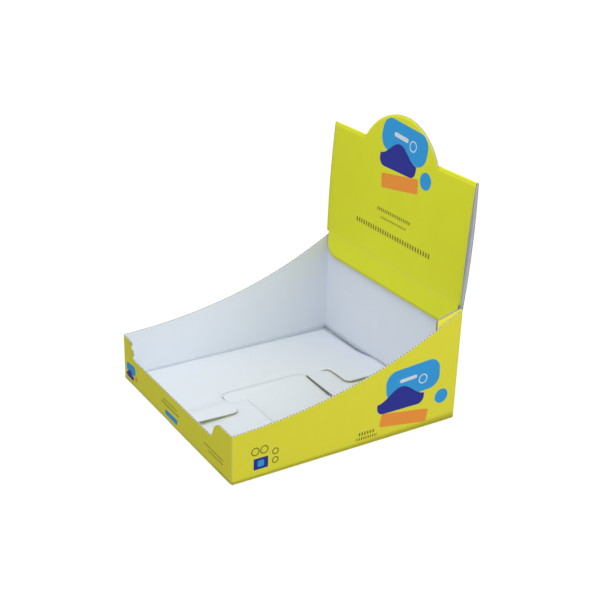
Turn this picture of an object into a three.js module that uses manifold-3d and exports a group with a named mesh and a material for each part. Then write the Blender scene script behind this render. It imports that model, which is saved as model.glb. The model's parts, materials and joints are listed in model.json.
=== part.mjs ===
// A counter display box folded from one sheet of thin corrugated board.
// Millimetres, +Z up. x runs from the left wall to the right wall, y from the front wall to the back wall.
import * as THREE from "three";
import { mergeVertices } from "three/addons/utils/BufferGeometryUtils.js";
import Module from "manifold-3d";

const wasm = await Module();
wasm.setup();

// Board and tray
const BOARD = 1.5;
const WIDTH = 280;
const DEPTH = 300;
const FRONT_HEIGHT = 60.5;
const BACK_HEIGHT = 142.5;
const CORNER_RADIUS = 2.2;
const PLY_GAP = 0.3; // air left between two layers of board that lie on each other

// Torn top edge of the side walls: a sweep that leaves the front nearly level and steepens to the back
const SWEEP_FRONT_SLOPE = 0.03;
const SWEEP_BACK_SLOPE = 0.58;

// Perforation that the edges were torn along
const PERF_PITCH = 4;
const PERF_TIE = 1;
const NIB_HEIGHT = 0.8;
const NIB_MIDDLE_SHARE = 0.65; // nibs tear to shares of NIB_HEIGHT around this one
const NIB_SHARE_SWING = 0.35;
const NIB_SHARE_TURN = 2.4; // radians from one nib's share to the next
const SLIT_WIDTH = 0.5;

// Torn opening in the front wall
const SILL_HEIGHT = 38;
const LEFT_EAR_WIDTH = 21;
const LEFT_EAR_RUN = 10;
const RIGHT_EAR_WIDTH = 33;
const RIGHT_EAR_RUN = 13;
const RIGHT_EAR_SHOULDER = 7;
const RIGHT_SHOULDER_SHARE = 0.7; // of the way from the sill up to the ear's top
const RIGHT_EAR_ROUND_RUN = 2;
const RIGHT_EAR_ROUND_DROP = 3;

// Glue flap, from the back wall, inside the back end of the right wall
const GLUE_FLAP_WIDTH = 33.5;
const GLUE_FLAP_INSET = 3;
const GLUE_FLAP_TAPER = 6;

// Piece of the tear-off strip that stayed on the right wall, because it is glued to that flap
const REMNANT_FRONT_HEIGHT = 11.5;
const REMNANT_BACK_HEIGHT = 2.2;

// Snap-lock base: the notched flap from the left, two side flaps, and the tongue flap from the right
const FLAP_CLEARANCE = 0.8;
const NOTCHED_LENGTH = 157;
const NOTCH_BOTTOM = 112;
const NOTCH_FRONT = 79;
const NOTCH_BACK = 230;
const NOTCH_RADIUS = 9;
const NOTCHED_RISE = 1.4;
const BACK_EAR_CLIMB = 5.8;
const BACK_EAR_CLIMB_START = 75;
const BACK_EAR_CLIMB_END = 130;
const BACK_EAR_BLEND = 28;
const FRONT_EAR_CLIMB = 5.5;
const FRONT_EAR_CLIMB_START = 110;
const FRONT_EAR_CLIMB_END = 138;
const FRONT_EAR_TWIST = 1.8;
const FRONT_EAR_BLEND = 20;
const FRONT_EAR_FLAT_FRONT = 15; // bands of the front ear beside the wall and beside the notch with one slope
const FRONT_EAR_FLAT_BACK = 4;
const SIDE_FLAP_LENGTH = 102;
const SIDE_FLAP_LIFT = 5.2;
const SIDE_FLAP_HINGE_RAMP = 8;
const SIDE_FLAP_HINGE_INSET = 8;
const BACK_FLAP_SIDE = 112.5;
const FRONT_FLAP_SIDE = 132;
const SIDE_FLAP_TAPER = 4;
const TONGUE_FRONT = 80;
const TONGUE_BACK = 197;
const TONGUE_TIP = 102;
const TONGUE_RADIUS = 10;
const TONGUE_RISE = 3.3;
const TONGUE_RISE_START = 190;
const TONGUE_LEVEL_TIP = 2;
const SHOULDER_OUTER = 200;
const SHOULDER_INNER = 165;
const SHOULDER_INSET = 9;

// Header: the lid panel standing on the back wall, folded forward and down at its top
const HEADER_FOLD_HEIGHT = 291.5;
const HEADER_LEAN = 4.95; // how far the fold lies behind the back wall's middle
const HEADER_BACK_BULGE = 2.6;
const HEADER_FRONT_SAG = 1.6;
const FOLD_RADIUS = 2;
const FOLD_SEAT_GAP = 0.3;
const TUCK_CREASE_HEIGHT = 147;
const TUCK_CREASE_INSET = 2.75; // from the back wall's middle to the tuck crease
const TUCK_LENGTH = 32;
const TUCK_INSET = 4;
const TUCK_SHOULDER = 1; // height over which the tuck flap narrows by that inset
const TUCK_LEAN = 1.5;
const TUCK_RADIUS = 18;
const ARCH_CHORD = 145;
const ARCH_RISE = 42;
const ARCH_CLEARANCE = 0.5;

const REACH = 20; // how far a cutting prism stands past what it cuts
const MARGIN = 1; // how far a bent sheet's grid stands past the outline it is cut to
const ARC_STEPS = 24;
const CORNER_STEPS = 4;
const SWEEP_STEPS = 400;
const HALVINGS = 40;
const PANEL_STEPS = 12;
const CLIMB_STEPS = 14;
const RAMP_STEPS = 4;
const BLEND_STEPS = 3;

const boardYellow = new THREE.MeshStandardMaterial({ color: 0xd2d140, roughness: 0.55, metalness: 0 });

// A closed geometry as a solid that can be joined and cut.
function solid(geometry) {
  const bare = geometry.index ? geometry.toNonIndexed() : geometry.clone();
  const others = Object.keys(bare.attributes).filter((name) => name !== "position");
  others.forEach((name) => bare.deleteAttribute(name));
  const merged = mergeVertices(bare, 1e-4);
  return new wasm.Manifold(
    new wasm.Mesh({
      numProp: 3,
      vertProperties: new Float32Array(merged.attributes.position.array),
      triVerts: new Uint32Array(merged.index.array),
    }),
  );
}

// A finished solid as a named mesh.
function namedMesh(name, body, material) {
  const { vertProperties, triVerts } = body.getMesh();
  const geometry = new THREE.BufferGeometry()
    .setAttribute("position", new THREE.BufferAttribute(new Float32Array(vertProperties), 3))
    .setIndex(new THREE.BufferAttribute(new Uint32Array(triVerts), 1));
  geometry.computeVertexNormals();
  const mesh = new THREE.Mesh(geometry, material);
  mesh.name = name;
  return mesh;
}

const flatShape = (points) => new THREE.Shape(points.map(([a, b]) => new THREE.Vector2(a, b)));

const pulled = (shape, depth, curveSegments = ARC_STEPS) =>
  new THREE.ExtrudeGeometry(shape, { depth, bevelEnabled: false, curveSegments });

// Three ways to stand a flat outline up as a prism: along z, along x and along y.
const prismUp = (shape, z0, z1) => solid(pulled(shape, z1 - z0).translate(0, 0, z0));

// The outline is drawn in y and z.
function prismAcross(shape, x0, x1) {
  const turn = new THREE.Matrix4().makeBasis(
    new THREE.Vector3(0, 1, 0),
    new THREE.Vector3(0, 0, 1),
    new THREE.Vector3(1, 0, 0),
  );
  return solid(pulled(shape, x1 - x0).applyMatrix4(turn).translate(x0, 0, 0));
}

// The outline is drawn in x and z.
function prismBack(shape, y0, y1) {
  const made = pulled(shape, y1 - y0).rotateX(Math.PI / 2);
  return solid(made.translate(0, y1, 0));
}

const smooth = (from, to, value) => THREE.MathUtils.smoothstep(value, from, to);

// A step from 0 to 1 as value goes from one limit to the other, in either direction.
const ease = (from, to, value) => (from < to ? smooth(from, to, value) : 1 - smooth(to, from, value));

// Even places from one value to another, both of them included.
const steps = (from, to, count) =>
  Array.from({ length: count + 1 }, (_, i) => from + ((to - from) * i) / count);

// A sheet of board over a grid of x and y, whose underside is at height(x, y).
function bentSheet(xs, ys, height) {
  const index = [];
  const row = ys.length;
  const layer = xs.length * row;
  const points = (lift) => xs.flatMap((x) => ys.flatMap((y) => [x, y, height(x, y) + lift]));
  const position = [...points(0), ...points(BOARD)];
  const quad = (a, b, c, d) => index.push(a, b, c, a, c, d);
  const last = (xs.length - 1) * row;
  for (let i = 0; i + 1 < xs.length; i++) {
    const a = i * row;
    for (let j = 0; j + 1 < row; j++) {
      const [p, q, r, s] = [a + j, a + row + j, a + row + j + 1, a + j + 1];
      quad(p, s, r, q);
      quad(p + layer, q + layer, r + layer, s + layer);
    }
    quad(a, a + row, a + row + layer, a + layer);
    quad(a + row - 1, a + row - 1 + layer, a + 2 * row - 1 + layer, a + 2 * row - 1);
  }
  for (let j = 0; j + 1 < row; j++) {
    quad(j, j + layer, j + 1 + layer, j + 1);
    quad(last + j, last + j + 1, last + j + 1 + layer, last + j + layer);
  }
  const geometry = new THREE.BufferGeometry()
    .setAttribute("position", new THREE.Float32BufferAttribute(position, 3))
    .setIndex(index);
  return solid(geometry);
}

// A band of board along a centre line in y and z, as an outline.
function boardBand(line) {
  const side = (offset) =>
    line.map((point, i) => {
      const ahead = line[Math.min(i + 1, line.length - 1)];
      const behind = line[Math.max(i - 1, 0)];
      const along = ahead.clone().sub(behind).normalize();
      return new THREE.Vector2(point.x - along.y * offset, point.y + along.x * offset);
    });
  return new THREE.Shape([...side(-BOARD / 2), ...side(BOARD / 2).reverse()]);
}

// A torn edge: points along a path, with a short nib left at each tie of the perforation.
// The nibs stand to the left of the path, and tear to different heights.
function tornEdge(path) {
  const length = path.getLength();
  const count = Math.floor(length / PERF_PITCH);
  const points = [path.getPointAt(0)];
  for (let i = 0; i < count; i++) {
    const middle = (i + 0.5) * PERF_PITCH;
    const height = NIB_HEIGHT * (NIB_MIDDLE_SHARE + NIB_SHARE_SWING * Math.sin(NIB_SHARE_TURN * i));
    for (const [offset, lift] of [
      [-PERF_TIE / 2, 0],
      [-PERF_TIE / 4, height],
      [PERF_TIE / 4, height],
      [PERF_TIE / 2, 0],
    ]) {
      const at = (middle + offset) / length;
      const point = path.getPointAt(at);
      const along = path.getTangentAt(at);
      points.push(new THREE.Vector2(point.x - along.y * lift, point.y + along.x * lift));
    }
  }
  points.push(path.getPointAt(1));
  return points;
}

// The side walls' sweep, drawn in y and z.
const sweep = new THREE.CubicBezierCurve(
  new THREE.Vector2(0, FRONT_HEIGHT),
  new THREE.Vector2(DEPTH / 3, FRONT_HEIGHT + (SWEEP_FRONT_SLOPE * DEPTH) / 3),
  new THREE.Vector2((DEPTH * 2) / 3, BACK_HEIGHT - (SWEEP_BACK_SLOPE * DEPTH) / 3),
  new THREE.Vector2(DEPTH, BACK_HEIGHT),
);
sweep.arcLengthDivisions = SWEEP_STEPS;

// The sweep's point at a distance y from the front, found by halving.
function sweepAt(y) {
  let [low, high] = [0, 1];
  for (let i = 0; i < HALVINGS; i++) {
    const middle = (low + high) / 2;
    [low, high] = sweep.getPoint(middle).x < y ? [middle, high] : [low, middle];
  }
  return sweep.getPoint(low);
}

// Four walls with small bends at the corners, as high as the back wall.
function wallRing() {
  const rounded = (inset, radius) => {
    const [x0, y0, x1, y1] = [inset, inset, WIDTH - inset, DEPTH - inset];
    const path = new THREE.Shape();
    path.absarc(x1 - radius, y0 + radius, radius, -Math.PI / 2, 0);
    path.absarc(x1 - radius, y1 - radius, radius, 0, Math.PI / 2);
    path.absarc(x0 + radius, y1 - radius, radius, Math.PI / 2, Math.PI);
    path.absarc(x0 + radius, y0 + radius, radius, Math.PI, 1.5 * Math.PI);
    return path;
  };
  const outer = solid(pulled(rounded(0, CORNER_RADIUS), BACK_HEIGHT, CORNER_STEPS));
  const inner = solid(pulled(rounded(BOARD, CORNER_RADIUS - BOARD), BACK_HEIGHT, CORNER_STEPS));
  return outer.subtract(inner.translate([0, 0, -REACH])).subtract(inner.translate([0, 0, REACH]));
}

// What was torn away over the side walls, as a prism across the box.
function tornCover() {
  const points = tornEdge(sweep);
  points[0].x = -REACH;
  points[points.length - 1].x = DEPTH - BOARD;
  const top = BACK_HEIGHT + REACH;
  points.push(new THREE.Vector2(DEPTH - BOARD, top), new THREE.Vector2(-REACH, top));
  return prismAcross(new THREE.Shape(points), -REACH, WIDTH + REACH);
}

// The opening torn in the front wall: down the left ear in an S, along the sill, and up the right ear.
function frontOpening() {
  const path = new THREE.CurvePath();
  const line = (x0, z0, x1, z1) => new THREE.LineCurve(new THREE.Vector2(x0, z0), new THREE.Vector2(x1, z1));
  const left = LEFT_EAR_WIDTH;
  const leftFoot = left + LEFT_EAR_RUN;
  const rightFoot = WIDTH - RIGHT_EAR_WIDTH - RIGHT_EAR_RUN;
  const shoulder = new THREE.Vector2(
    rightFoot + RIGHT_EAR_SHOULDER,
    SILL_HEIGHT + (FRONT_HEIGHT - SILL_HEIGHT) * RIGHT_SHOULDER_SHARE,
  );
  path.add(
    new THREE.CubicBezierCurve(
      new THREE.Vector2(left, FRONT_HEIGHT),
      new THREE.Vector2(left + LEFT_EAR_RUN / 2, FRONT_HEIGHT),
      new THREE.Vector2(left + LEFT_EAR_RUN / 4, SILL_HEIGHT),
      new THREE.Vector2(leftFoot, SILL_HEIGHT),
    ),
  );
  path.add(line(leftFoot, SILL_HEIGHT, rightFoot, SILL_HEIGHT));
  path.add(line(rightFoot, SILL_HEIGHT, shoulder.x, shoulder.y));
  path.add(
    new THREE.QuadraticBezierCurve(
      shoulder,
      new THREE.Vector2(shoulder.x + RIGHT_EAR_ROUND_RUN, FRONT_HEIGHT - RIGHT_EAR_ROUND_DROP),
      new THREE.Vector2(WIDTH - RIGHT_EAR_WIDTH + RIGHT_EAR_SHOULDER, FRONT_HEIGHT),
    ),
  );
  const points = tornEdge(path);
  const top = BACK_HEIGHT + REACH;
  points.push(new THREE.Vector2(points[points.length - 1].x, top), new THREE.Vector2(left, top));
  return prismBack(new THREE.Shape(points), -REACH, 2 * CORNER_RADIUS);
}

const glueFront = DEPTH - BOARD - GLUE_FLAP_WIDTH;
const remnantFront = sweepAt(glueFront).y + REMNANT_FRONT_HEIGHT;
const remnantBack = BACK_HEIGHT + REMNANT_BACK_HEIGHT;

// The piece of the tear-off strip left on the right wall.
function remnant() {
  const back = DEPTH - BOARD;
  const outline = flatShape([
    [glueFront, sweepAt(glueFront).y - NIB_HEIGHT],
    [back, BACK_HEIGHT - BOARD],
    [back, remnantBack],
    [glueFront, remnantFront],
  ]);
  return prismAcross(outline, WIDTH - BOARD, WIDTH);
}

// The slits of the perforation between the right wall and that piece, cut through the wall only.
function remnantSlits() {
  const count = Math.floor(GLUE_FLAP_WIDTH / PERF_PITCH);
  return Array.from({ length: count }, (_, i) => {
    const from = sweepAt(glueFront + i * PERF_PITCH + PERF_TIE / 2);
    const to = sweepAt(glueFront + (i + 1) * PERF_PITCH - PERF_TIE / 2);
    const outline = flatShape([
      [from.x, from.y - SLIT_WIDTH / 2],
      [to.x, to.y - SLIT_WIDTH / 2],
      [to.x, to.y + SLIT_WIDTH / 2],
      [from.x, from.y + SLIT_WIDTH / 2],
    ]);
    return prismAcross(outline, WIDTH - BOARD, WIDTH + REACH);
  });
}

// The glue flap, folded forward from the back wall and glued inside the right wall and its piece of strip.
function glueFlap() {
  const back = DEPTH - BOARD / 2;
  const outline = flatShape([
    [back, GLUE_FLAP_INSET],
    [back, BACK_HEIGHT - BOARD],
    [DEPTH - BOARD, remnantBack],
    [glueFront, remnantFront],
    [glueFront, GLUE_FLAP_INSET + GLUE_FLAP_TAPER],
  ]);
  return prismAcross(outline, WIDTH - 2 * BOARD, WIDTH - BOARD);
}

// The flap from the left wall, with a notch in its free edge and an ear on each side of the notch.
// It rises a little towards its free edge, and each ear climbs onto the side flap under it.
function notchedFlap() {
  const climbBack = (x) => BACK_EAR_CLIMB * ease(BACK_EAR_CLIMB_START, BACK_EAR_CLIMB_END, x);
  const climbFront = (x, y) =>
    (FRONT_EAR_CLIMB + FRONT_EAR_TWIST * ease(NOTCH_FRONT, 0, y)) *
    ease(FRONT_EAR_CLIMB_START, FRONT_EAR_CLIMB_END, x);
  const height = (x, y) =>
    NOTCHED_RISE * Math.min(x / NOTCH_BOTTOM, 1) +
    climbBack(x) * ease(NOTCH_BACK - BACK_EAR_BLEND, NOTCH_BACK, y) +
    climbFront(x, y) * ease(NOTCH_FRONT + FRONT_EAR_BLEND, NOTCH_FRONT, y);
  const [front, back] = [BOARD + FLAP_CLEARANCE, DEPTH - BOARD - FLAP_CLEARANCE];
  const r = NOTCH_RADIUS;
  const outline = new THREE.Shape();
  outline.moveTo(0, front);
  outline.lineTo(NOTCHED_LENGTH, front);
  outline.lineTo(NOTCHED_LENGTH, NOTCH_FRONT - r);
  outline.absarc(NOTCHED_LENGTH - r, NOTCH_FRONT - r, r, 0, Math.PI / 2);
  outline.lineTo(NOTCH_BOTTOM + r, NOTCH_FRONT);
  outline.absarc(NOTCH_BOTTOM + r, NOTCH_FRONT + r, r, 1.5 * Math.PI, Math.PI, true);
  outline.lineTo(NOTCH_BOTTOM, NOTCH_BACK - r);
  outline.absarc(NOTCH_BOTTOM + r, NOTCH_BACK - r, r, Math.PI, Math.PI / 2, true);
  outline.lineTo(NOTCHED_LENGTH - r, NOTCH_BACK);
  outline.absarc(NOTCHED_LENGTH - r, NOTCH_BACK + r, r, 1.5 * Math.PI, 2 * Math.PI);
  outline.lineTo(NOTCHED_LENGTH, back);
  outline.lineTo(0, back);
  const xs = [0, ...steps(BACK_EAR_CLIMB_START, NOTCHED_LENGTH + REACH, CLIMB_STEPS)];
  const ys = [
    front - MARGIN,
    ...steps(front + FRONT_EAR_FLAT_FRONT, NOTCH_FRONT - FRONT_EAR_FLAT_BACK, BLEND_STEPS),
    ...steps(NOTCH_FRONT, NOTCH_FRONT + FRONT_EAR_BLEND, BLEND_STEPS),
    ...steps(NOTCH_BACK - BACK_EAR_BLEND, NOTCH_BACK, BLEND_STEPS + 1),
    back + MARGIN,
  ];
  return bentSheet(xs, ys, height).intersect(prismUp(outline, -REACH, REACH));
}

// A side flap's underside at a distance from its hinge: up over the tongue flap, then a steady rise.
function sideFlapHeight(distance) {
  const over = BOARD + PLY_GAP;
  const rise = (SIDE_FLAP_LIFT - over) / (SIDE_FLAP_LENGTH - SIDE_FLAP_HINGE_RAMP);
  return over * ease(0, SIDE_FLAP_HINGE_RAMP, distance) + rise * Math.max(distance - SIDE_FLAP_HINGE_RAMP, 0);
}

// The flap from the back wall or the front wall; fromWall gives y at a distance from that wall.
function sideFlap(side, fromWall) {
  const far = WIDTH - SIDE_FLAP_HINGE_INSET;
  const outline = flatShape([
    [side - SIDE_FLAP_TAPER, fromWall(0)],
    [far, fromWall(0)],
    [far - SIDE_FLAP_TAPER, fromWall(SIDE_FLAP_LENGTH)],
    [side, fromWall(SIDE_FLAP_LENGTH)],
  ]);
  const distances = [...steps(0, SIDE_FLAP_HINGE_RAMP, RAMP_STEPS), SIDE_FLAP_LENGTH + MARGIN];
  const rows = distances.map(fromWall).sort((a, b) => a - b);
  const distance = (y) => Math.abs(y - fromWall(0));
  const sheet = bentSheet([side - REACH, WIDTH - MARGIN], rows, (x, y) => sideFlapHeight(distance(y)));
  return sheet.intersect(prismUp(outline, -REACH, REACH));
}

// The flap from the right wall, under the others.
// Its tongue rises through the notch and lies on the notched flap.
function tongueFlap() {
  const height = (x) => TONGUE_RISE * ease(TONGUE_RISE_START, TONGUE_TIP + TONGUE_LEVEL_TIP, x);
  const [front, back] = [BOARD + FLAP_CLEARANCE, DEPTH - BOARD - FLAP_CLEARANCE];
  const [frontSide, backSide] = [SHOULDER_INSET, DEPTH - SHOULDER_INSET];
  const hingeEnd = WIDTH - SHOULDER_INSET;
  const r = TONGUE_RADIUS;
  const outline = new THREE.Shape();
  outline.moveTo(WIDTH, front);
  outline.lineTo(WIDTH, back);
  outline.lineTo(hingeEnd, backSide);
  outline.lineTo(SHOULDER_OUTER, backSide);
  outline.lineTo(SHOULDER_INNER, TONGUE_BACK);
  outline.lineTo(TONGUE_TIP + r, TONGUE_BACK);
  outline.absarc(TONGUE_TIP + r, TONGUE_BACK - r, r, Math.PI / 2, Math.PI);
  outline.lineTo(TONGUE_TIP, TONGUE_FRONT + r);
  outline.absarc(TONGUE_TIP + r, TONGUE_FRONT + r, r, Math.PI, 1.5 * Math.PI);
  outline.lineTo(SHOULDER_INNER, TONGUE_FRONT);
  outline.lineTo(SHOULDER_OUTER, frontSide);
  outline.lineTo(hingeEnd, frontSide);
  const xs = [...steps(TONGUE_TIP - MARGIN, TONGUE_RISE_START, CLIMB_STEPS), WIDTH];
  const sheet = bentSheet(xs, [0, DEPTH], (x) => height(x));
  return sheet.intersect(prismUp(outline, -REACH, REACH));
}

const hinge = new THREE.Vector2(DEPTH - BOARD / 2 + HEADER_LEAN, HEADER_FOLD_HEIGHT);
const foldOffset = FOLD_RADIUS - BOARD / 2; // from the hinge to the middle of either panel
const archRadius = (ARCH_RISE ** 2 + (ARCH_CHORD / 2) ** 2) / (2 * ARCH_RISE);

// The disc that the arch is cut from, drawn in x and z; up is 1 over the fold and -1 for the hole under it.
function archDisc(up, extra) {
  const outline = new THREE.Shape();
  outline.absarc(WIDTH / 2, hinge.y + up * (ARCH_RISE - archRadius), archRadius + extra, 0, 2 * Math.PI);
  return prismBack(outline, DEPTH - REACH, DEPTH + REACH);
}

// The bead at the header's fold, drawn in y and z, over the whole width.
function foldBead(radius) {
  const outline = new THREE.Shape();
  outline.absarc(hinge.x, hinge.y, radius, 0, 2 * Math.PI);
  return prismAcross(outline, 0, WIDTH);
}

// The lid panel standing on the back wall, with the arch's hole open at its top.
function headerBack() {
  const foot = new THREE.Vector2(DEPTH - BOARD / 2, BACK_HEIGHT - BOARD);
  const head = new THREE.Vector2(hinge.x + foldOffset, hinge.y);
  const bow = foot.clone().add(head).multiplyScalar(0.5).add(new THREE.Vector2(HEADER_BACK_BULGE * 2, 0));
  const line = new THREE.QuadraticBezierCurve(foot, bow, head).getPoints(PANEL_STEPS);
  return prismAcross(boardBand(line), 0, WIDTH)
    .subtract(archDisc(-1, ARCH_CLEARANCE))
    .subtract(foldBead(FOLD_RADIUS + FOLD_SEAT_GAP));
}

// The header's front panel with its arch and its tuck flap, bent from one band of board.
function headerFlap() {
  const crease = new THREE.Vector2(DEPTH - BOARD / 2 - TUCK_CREASE_INSET, TUCK_CREASE_HEIGHT);
  const fold = new THREE.Vector2(hinge.x - foldOffset, hinge.y);
  const sag = crease.clone().add(fold).multiplyScalar(0.5).add(new THREE.Vector2(-HEADER_FRONT_SAG * 2, 0));
  const panel = new THREE.QuadraticBezierCurve(fold, sag, crease);
  const along = panel.getTangent(0);
  const archTop = fold.clone().addScaledVector(along, -(ARCH_RISE + BOARD) / -along.y);
  const tuckEnd = new THREE.Vector2(crease.x - TUCK_LEAN, crease.y - TUCK_LENGTH);
  const sheet = prismAcross(boardBand([archTop, ...panel.getPoints(PANEL_STEPS), tuckEnd]), 0, WIDTH);

  const tuckLeft = TUCK_INSET;
  const tuckRight = WIDTH - TUCK_INSET;
  const r = TUCK_RADIUS;
  const outline = new THREE.Shape();
  outline.moveTo(0, hinge.y);
  outline.lineTo(0, crease.y);
  outline.lineTo(tuckLeft, crease.y - TUCK_SHOULDER);
  outline.lineTo(tuckLeft, tuckEnd.y + r);
  outline.absarc(tuckLeft + r, tuckEnd.y + r, r, Math.PI, 1.5 * Math.PI);
  outline.absarc(tuckRight - r, tuckEnd.y + r, r, 1.5 * Math.PI, 2 * Math.PI);
  outline.lineTo(tuckRight, crease.y - TUCK_SHOULDER);
  outline.lineTo(WIDTH, crease.y);
  outline.lineTo(WIDTH, hinge.y);
  const panelPrism = prismBack(outline, DEPTH - REACH, DEPTH + REACH);
  const aboveFold = flatShape([
    [0, hinge.y - BOARD],
    [WIDTH, hinge.y - BOARD],
    [WIDTH, hinge.y + ARCH_RISE + REACH],
    [0, hinge.y + ARCH_RISE + REACH],
  ]);
  const archPrism = archDisc(1, 0).intersect(prismBack(aboveFold, DEPTH - REACH, DEPTH + REACH));
  const bead = foldBead(FOLD_RADIUS).subtract(archDisc(-1, ARCH_CLEARANCE));
  return sheet.intersect(panelPrism.add(archPrism)).add(bead);
}

function trayBlank() {
  let walls = wallRing().subtract(tornCover()).subtract(frontOpening()).add(remnant());
  for (const slit of remnantSlits()) walls = walls.subtract(slit);
  return walls
    .add(glueFlap())
    .add(notchedFlap())
    .add(sideFlap(BACK_FLAP_SIDE, (distance) => DEPTH - distance))
    .add(sideFlap(FRONT_FLAP_SIDE, (distance) => distance))
    .add(tongueFlap())
    .add(headerBack());
}

// The part's origin is at the middle of the bottom of everything, so the group is moved there.
const box = new THREE.Group();
box.add(namedMesh("tray_blank", trayBlank(), boardYellow));
box.add(namedMesh("header_flap", headerFlap(), boardYellow));
const bounds = new THREE.Box3().setFromObject(box);
const middle = bounds.getCenter(new THREE.Vector3());
box.position.set(-middle.x, -middle.y, -bounds.min.z);

export default box;
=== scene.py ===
import json
import math

import bpy
import numpy as np
from mathutils import Matrix, Vector


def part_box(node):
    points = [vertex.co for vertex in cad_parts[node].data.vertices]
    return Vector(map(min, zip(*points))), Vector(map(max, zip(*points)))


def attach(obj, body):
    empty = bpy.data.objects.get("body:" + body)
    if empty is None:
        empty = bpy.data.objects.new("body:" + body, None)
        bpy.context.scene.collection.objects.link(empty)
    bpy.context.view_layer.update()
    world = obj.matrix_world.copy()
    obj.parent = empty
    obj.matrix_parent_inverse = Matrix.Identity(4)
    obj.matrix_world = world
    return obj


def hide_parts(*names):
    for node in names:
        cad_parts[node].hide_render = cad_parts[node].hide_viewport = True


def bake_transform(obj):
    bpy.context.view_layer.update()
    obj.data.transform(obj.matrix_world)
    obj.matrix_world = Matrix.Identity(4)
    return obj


bl_info = {
    "name": "Counter Display Box",
    "version": (1, 0, 0),
    "blender": (4, 5, 0),
    "location": "View3D > Sidebar > Display Box",
    "description": "Dresses a folded counter display box of thin board around its packed frame",
    "category": "Object",
}

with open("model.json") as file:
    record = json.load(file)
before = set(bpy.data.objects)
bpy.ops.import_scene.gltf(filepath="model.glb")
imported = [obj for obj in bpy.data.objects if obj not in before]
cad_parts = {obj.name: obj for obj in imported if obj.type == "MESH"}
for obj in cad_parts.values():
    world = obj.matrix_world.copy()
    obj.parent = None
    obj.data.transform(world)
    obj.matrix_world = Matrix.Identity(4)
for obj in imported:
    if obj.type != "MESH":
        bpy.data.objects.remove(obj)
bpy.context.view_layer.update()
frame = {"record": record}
TRAY_LOW, TRAY_HIGH = (np.array(corner, float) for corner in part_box("tray_blank"))
JOINTS = {joint["name"]: joint for joint in frame["record"]["behaviour"]["joints"]}
HINGE_Y, HINGE_Z = JOINTS["header_flap_hinge"]["pos_m"][1:]

PRINT, LINER, EDGE = range(3)  # order of the material slots on every sheet of board

# Widths of the mesh cells, in metres
WALL_CELL = 0.006
FLAP_CELL = 0.008
BEND_CELL = 0.0005
SHOULDER_CELL = 0.001
HAIR = 1e-5  # between the two columns of a sudden step
TOUCH = 1e-9  # over which two stretches of wall overlap, so that no column falls between them
DIGITS = 6  # of a column's place, so that no two columns lie closer than a thousandth of a millimetre

# Numbers of rows and columns of the meshes
WALL_ROWS = 15
FLAP_BEND_ROWS, FLAP_ROWS = 5, 36
BACK_PANEL_ROWS = 33
TUCK_ROWS, FRONT_PANEL_ROWS = 9, 45
FOLD_ROWS = 13
CORNER_COLUMNS, ARCH_COLUMNS = 7, 61

# Torn nibs: their height as a share of the longest, and how it swings from one to the next
NIB_MIDDLE, NIB_SWING, NIB_TURN = 0.65, 0.35, 2.4

# Columns at each tie, from its middle, in lengths of a tie
TIE_OUTLINE = (-1, -0.5, -0.25, 0.25, 0.5, 1)

# How far the ink is torn off between two ties, and on the four upper rows of an edge and of the remnant
INK_OFF_BETWEEN = 0.4
EDGE_ROWS_OFF = np.array([0.3, 0.7, 0.85, 1.0])
STRIP_ROWS_OFF = np.array([1.0, 1.0, 0.0, 0.0])


def length(name, default, description):
    """A size in metres."""
    return bpy.props.FloatProperty(
        name=name, description=description, default=default, unit="LENGTH", precision=5
    )


def point(name, default, description):
    """A point in the row's frame, in metres."""
    return bpy.props.FloatVectorProperty(
        name=name, description=description, default=default, size=3, subtype="TRANSLATION", precision=4
    )


def ratio(name, default, description):
    """A plain number."""
    return bpy.props.FloatProperty(name=name, description=description, default=default, precision=3)


def angle(name, degrees, description):
    """A turn, given in degrees."""
    return bpy.props.FloatProperty(
        name=name, description=description, default=math.radians(degrees), subtype="ANGLE"
    )


def colour(name, default, description):
    """A colour as it is meant to be seen."""
    return bpy.props.FloatVectorProperty(
        name=name, description=description, default=default, size=3, min=0, max=1, subtype="COLOR_GAMMA"
    )


class TraySizes(bpy.types.PropertyGroup):
    """Walls of the tray. Places along a wall count from its left or front end."""

    board: length("Board", 0.0015, "Thickness of the corrugated board")
    width: length("Width", TRAY_HIGH[0] - TRAY_LOW[0], "Outside width, from left wall to right wall")
    depth: length("Depth", 0.300, "Outside depth, from the front wall to the back wall")
    front_height: length("Front height", 0.0605, "Height of the corners at the front")
    back_height: length("Back height", 0.1425, "Height of the back wall, up to the header's crease")
    corner: length("Corner", 0.0022, "Outside radius of the bend between two walls")
    front_slope: ratio("Front slope", 0.03, "Slope of the torn side edge at the front")
    back_slope: ratio("Back slope", 0.58, "Slope of the torn side edge at the back")
    sill: length("Sill", 0.038, "Height of the torn front wall")
    left_ear: length("Left ear", 0.021, "Width of the ear at the left end of the front wall")
    left_run: length("Left run", 0.010, "Width of the S in which the left ear falls to the sill")
    right_ear: length("Right ear", 0.033, "Width of the ear at the right end of the front wall")
    right_run: length("Right run", 0.013, "Width over which the sill climbs to the right ear")
    right_shoulder: length("Right shoulder", 0.007, "Width of the steep part of that climb")
    right_shoulder_share: ratio("Shoulder share", 0.7, "Share of the climb's height in its steep part")
    pitch: length("Perforation pitch", 0.004, "Distance between two ties of the perforation")
    tie: length("Tie", 0.001, "Length of one tie")
    nib: length("Nib", 0.0008, "Height of the longest nib left by a torn tie")
    glue_flap: length("Glue flap", 0.0335, "Width of the glue flap, inside the right wall's back end")
    glue_inset: length("Glue inset", 0.003, "Distance of its lower end from the bottom")
    glue_taper: length("Glue taper", 0.006, "Slant of the glue flap's lower end")
    remnant_front: length("Remnant front", 0.0115, "Front height of the strip left on the glue flap")
    remnant_back: length("Remnant back", 0.0022, "Its height at the back corner")
    slit: length("Slit", 0.0005, "Width of the perforation's slits under the remnant")


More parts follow.
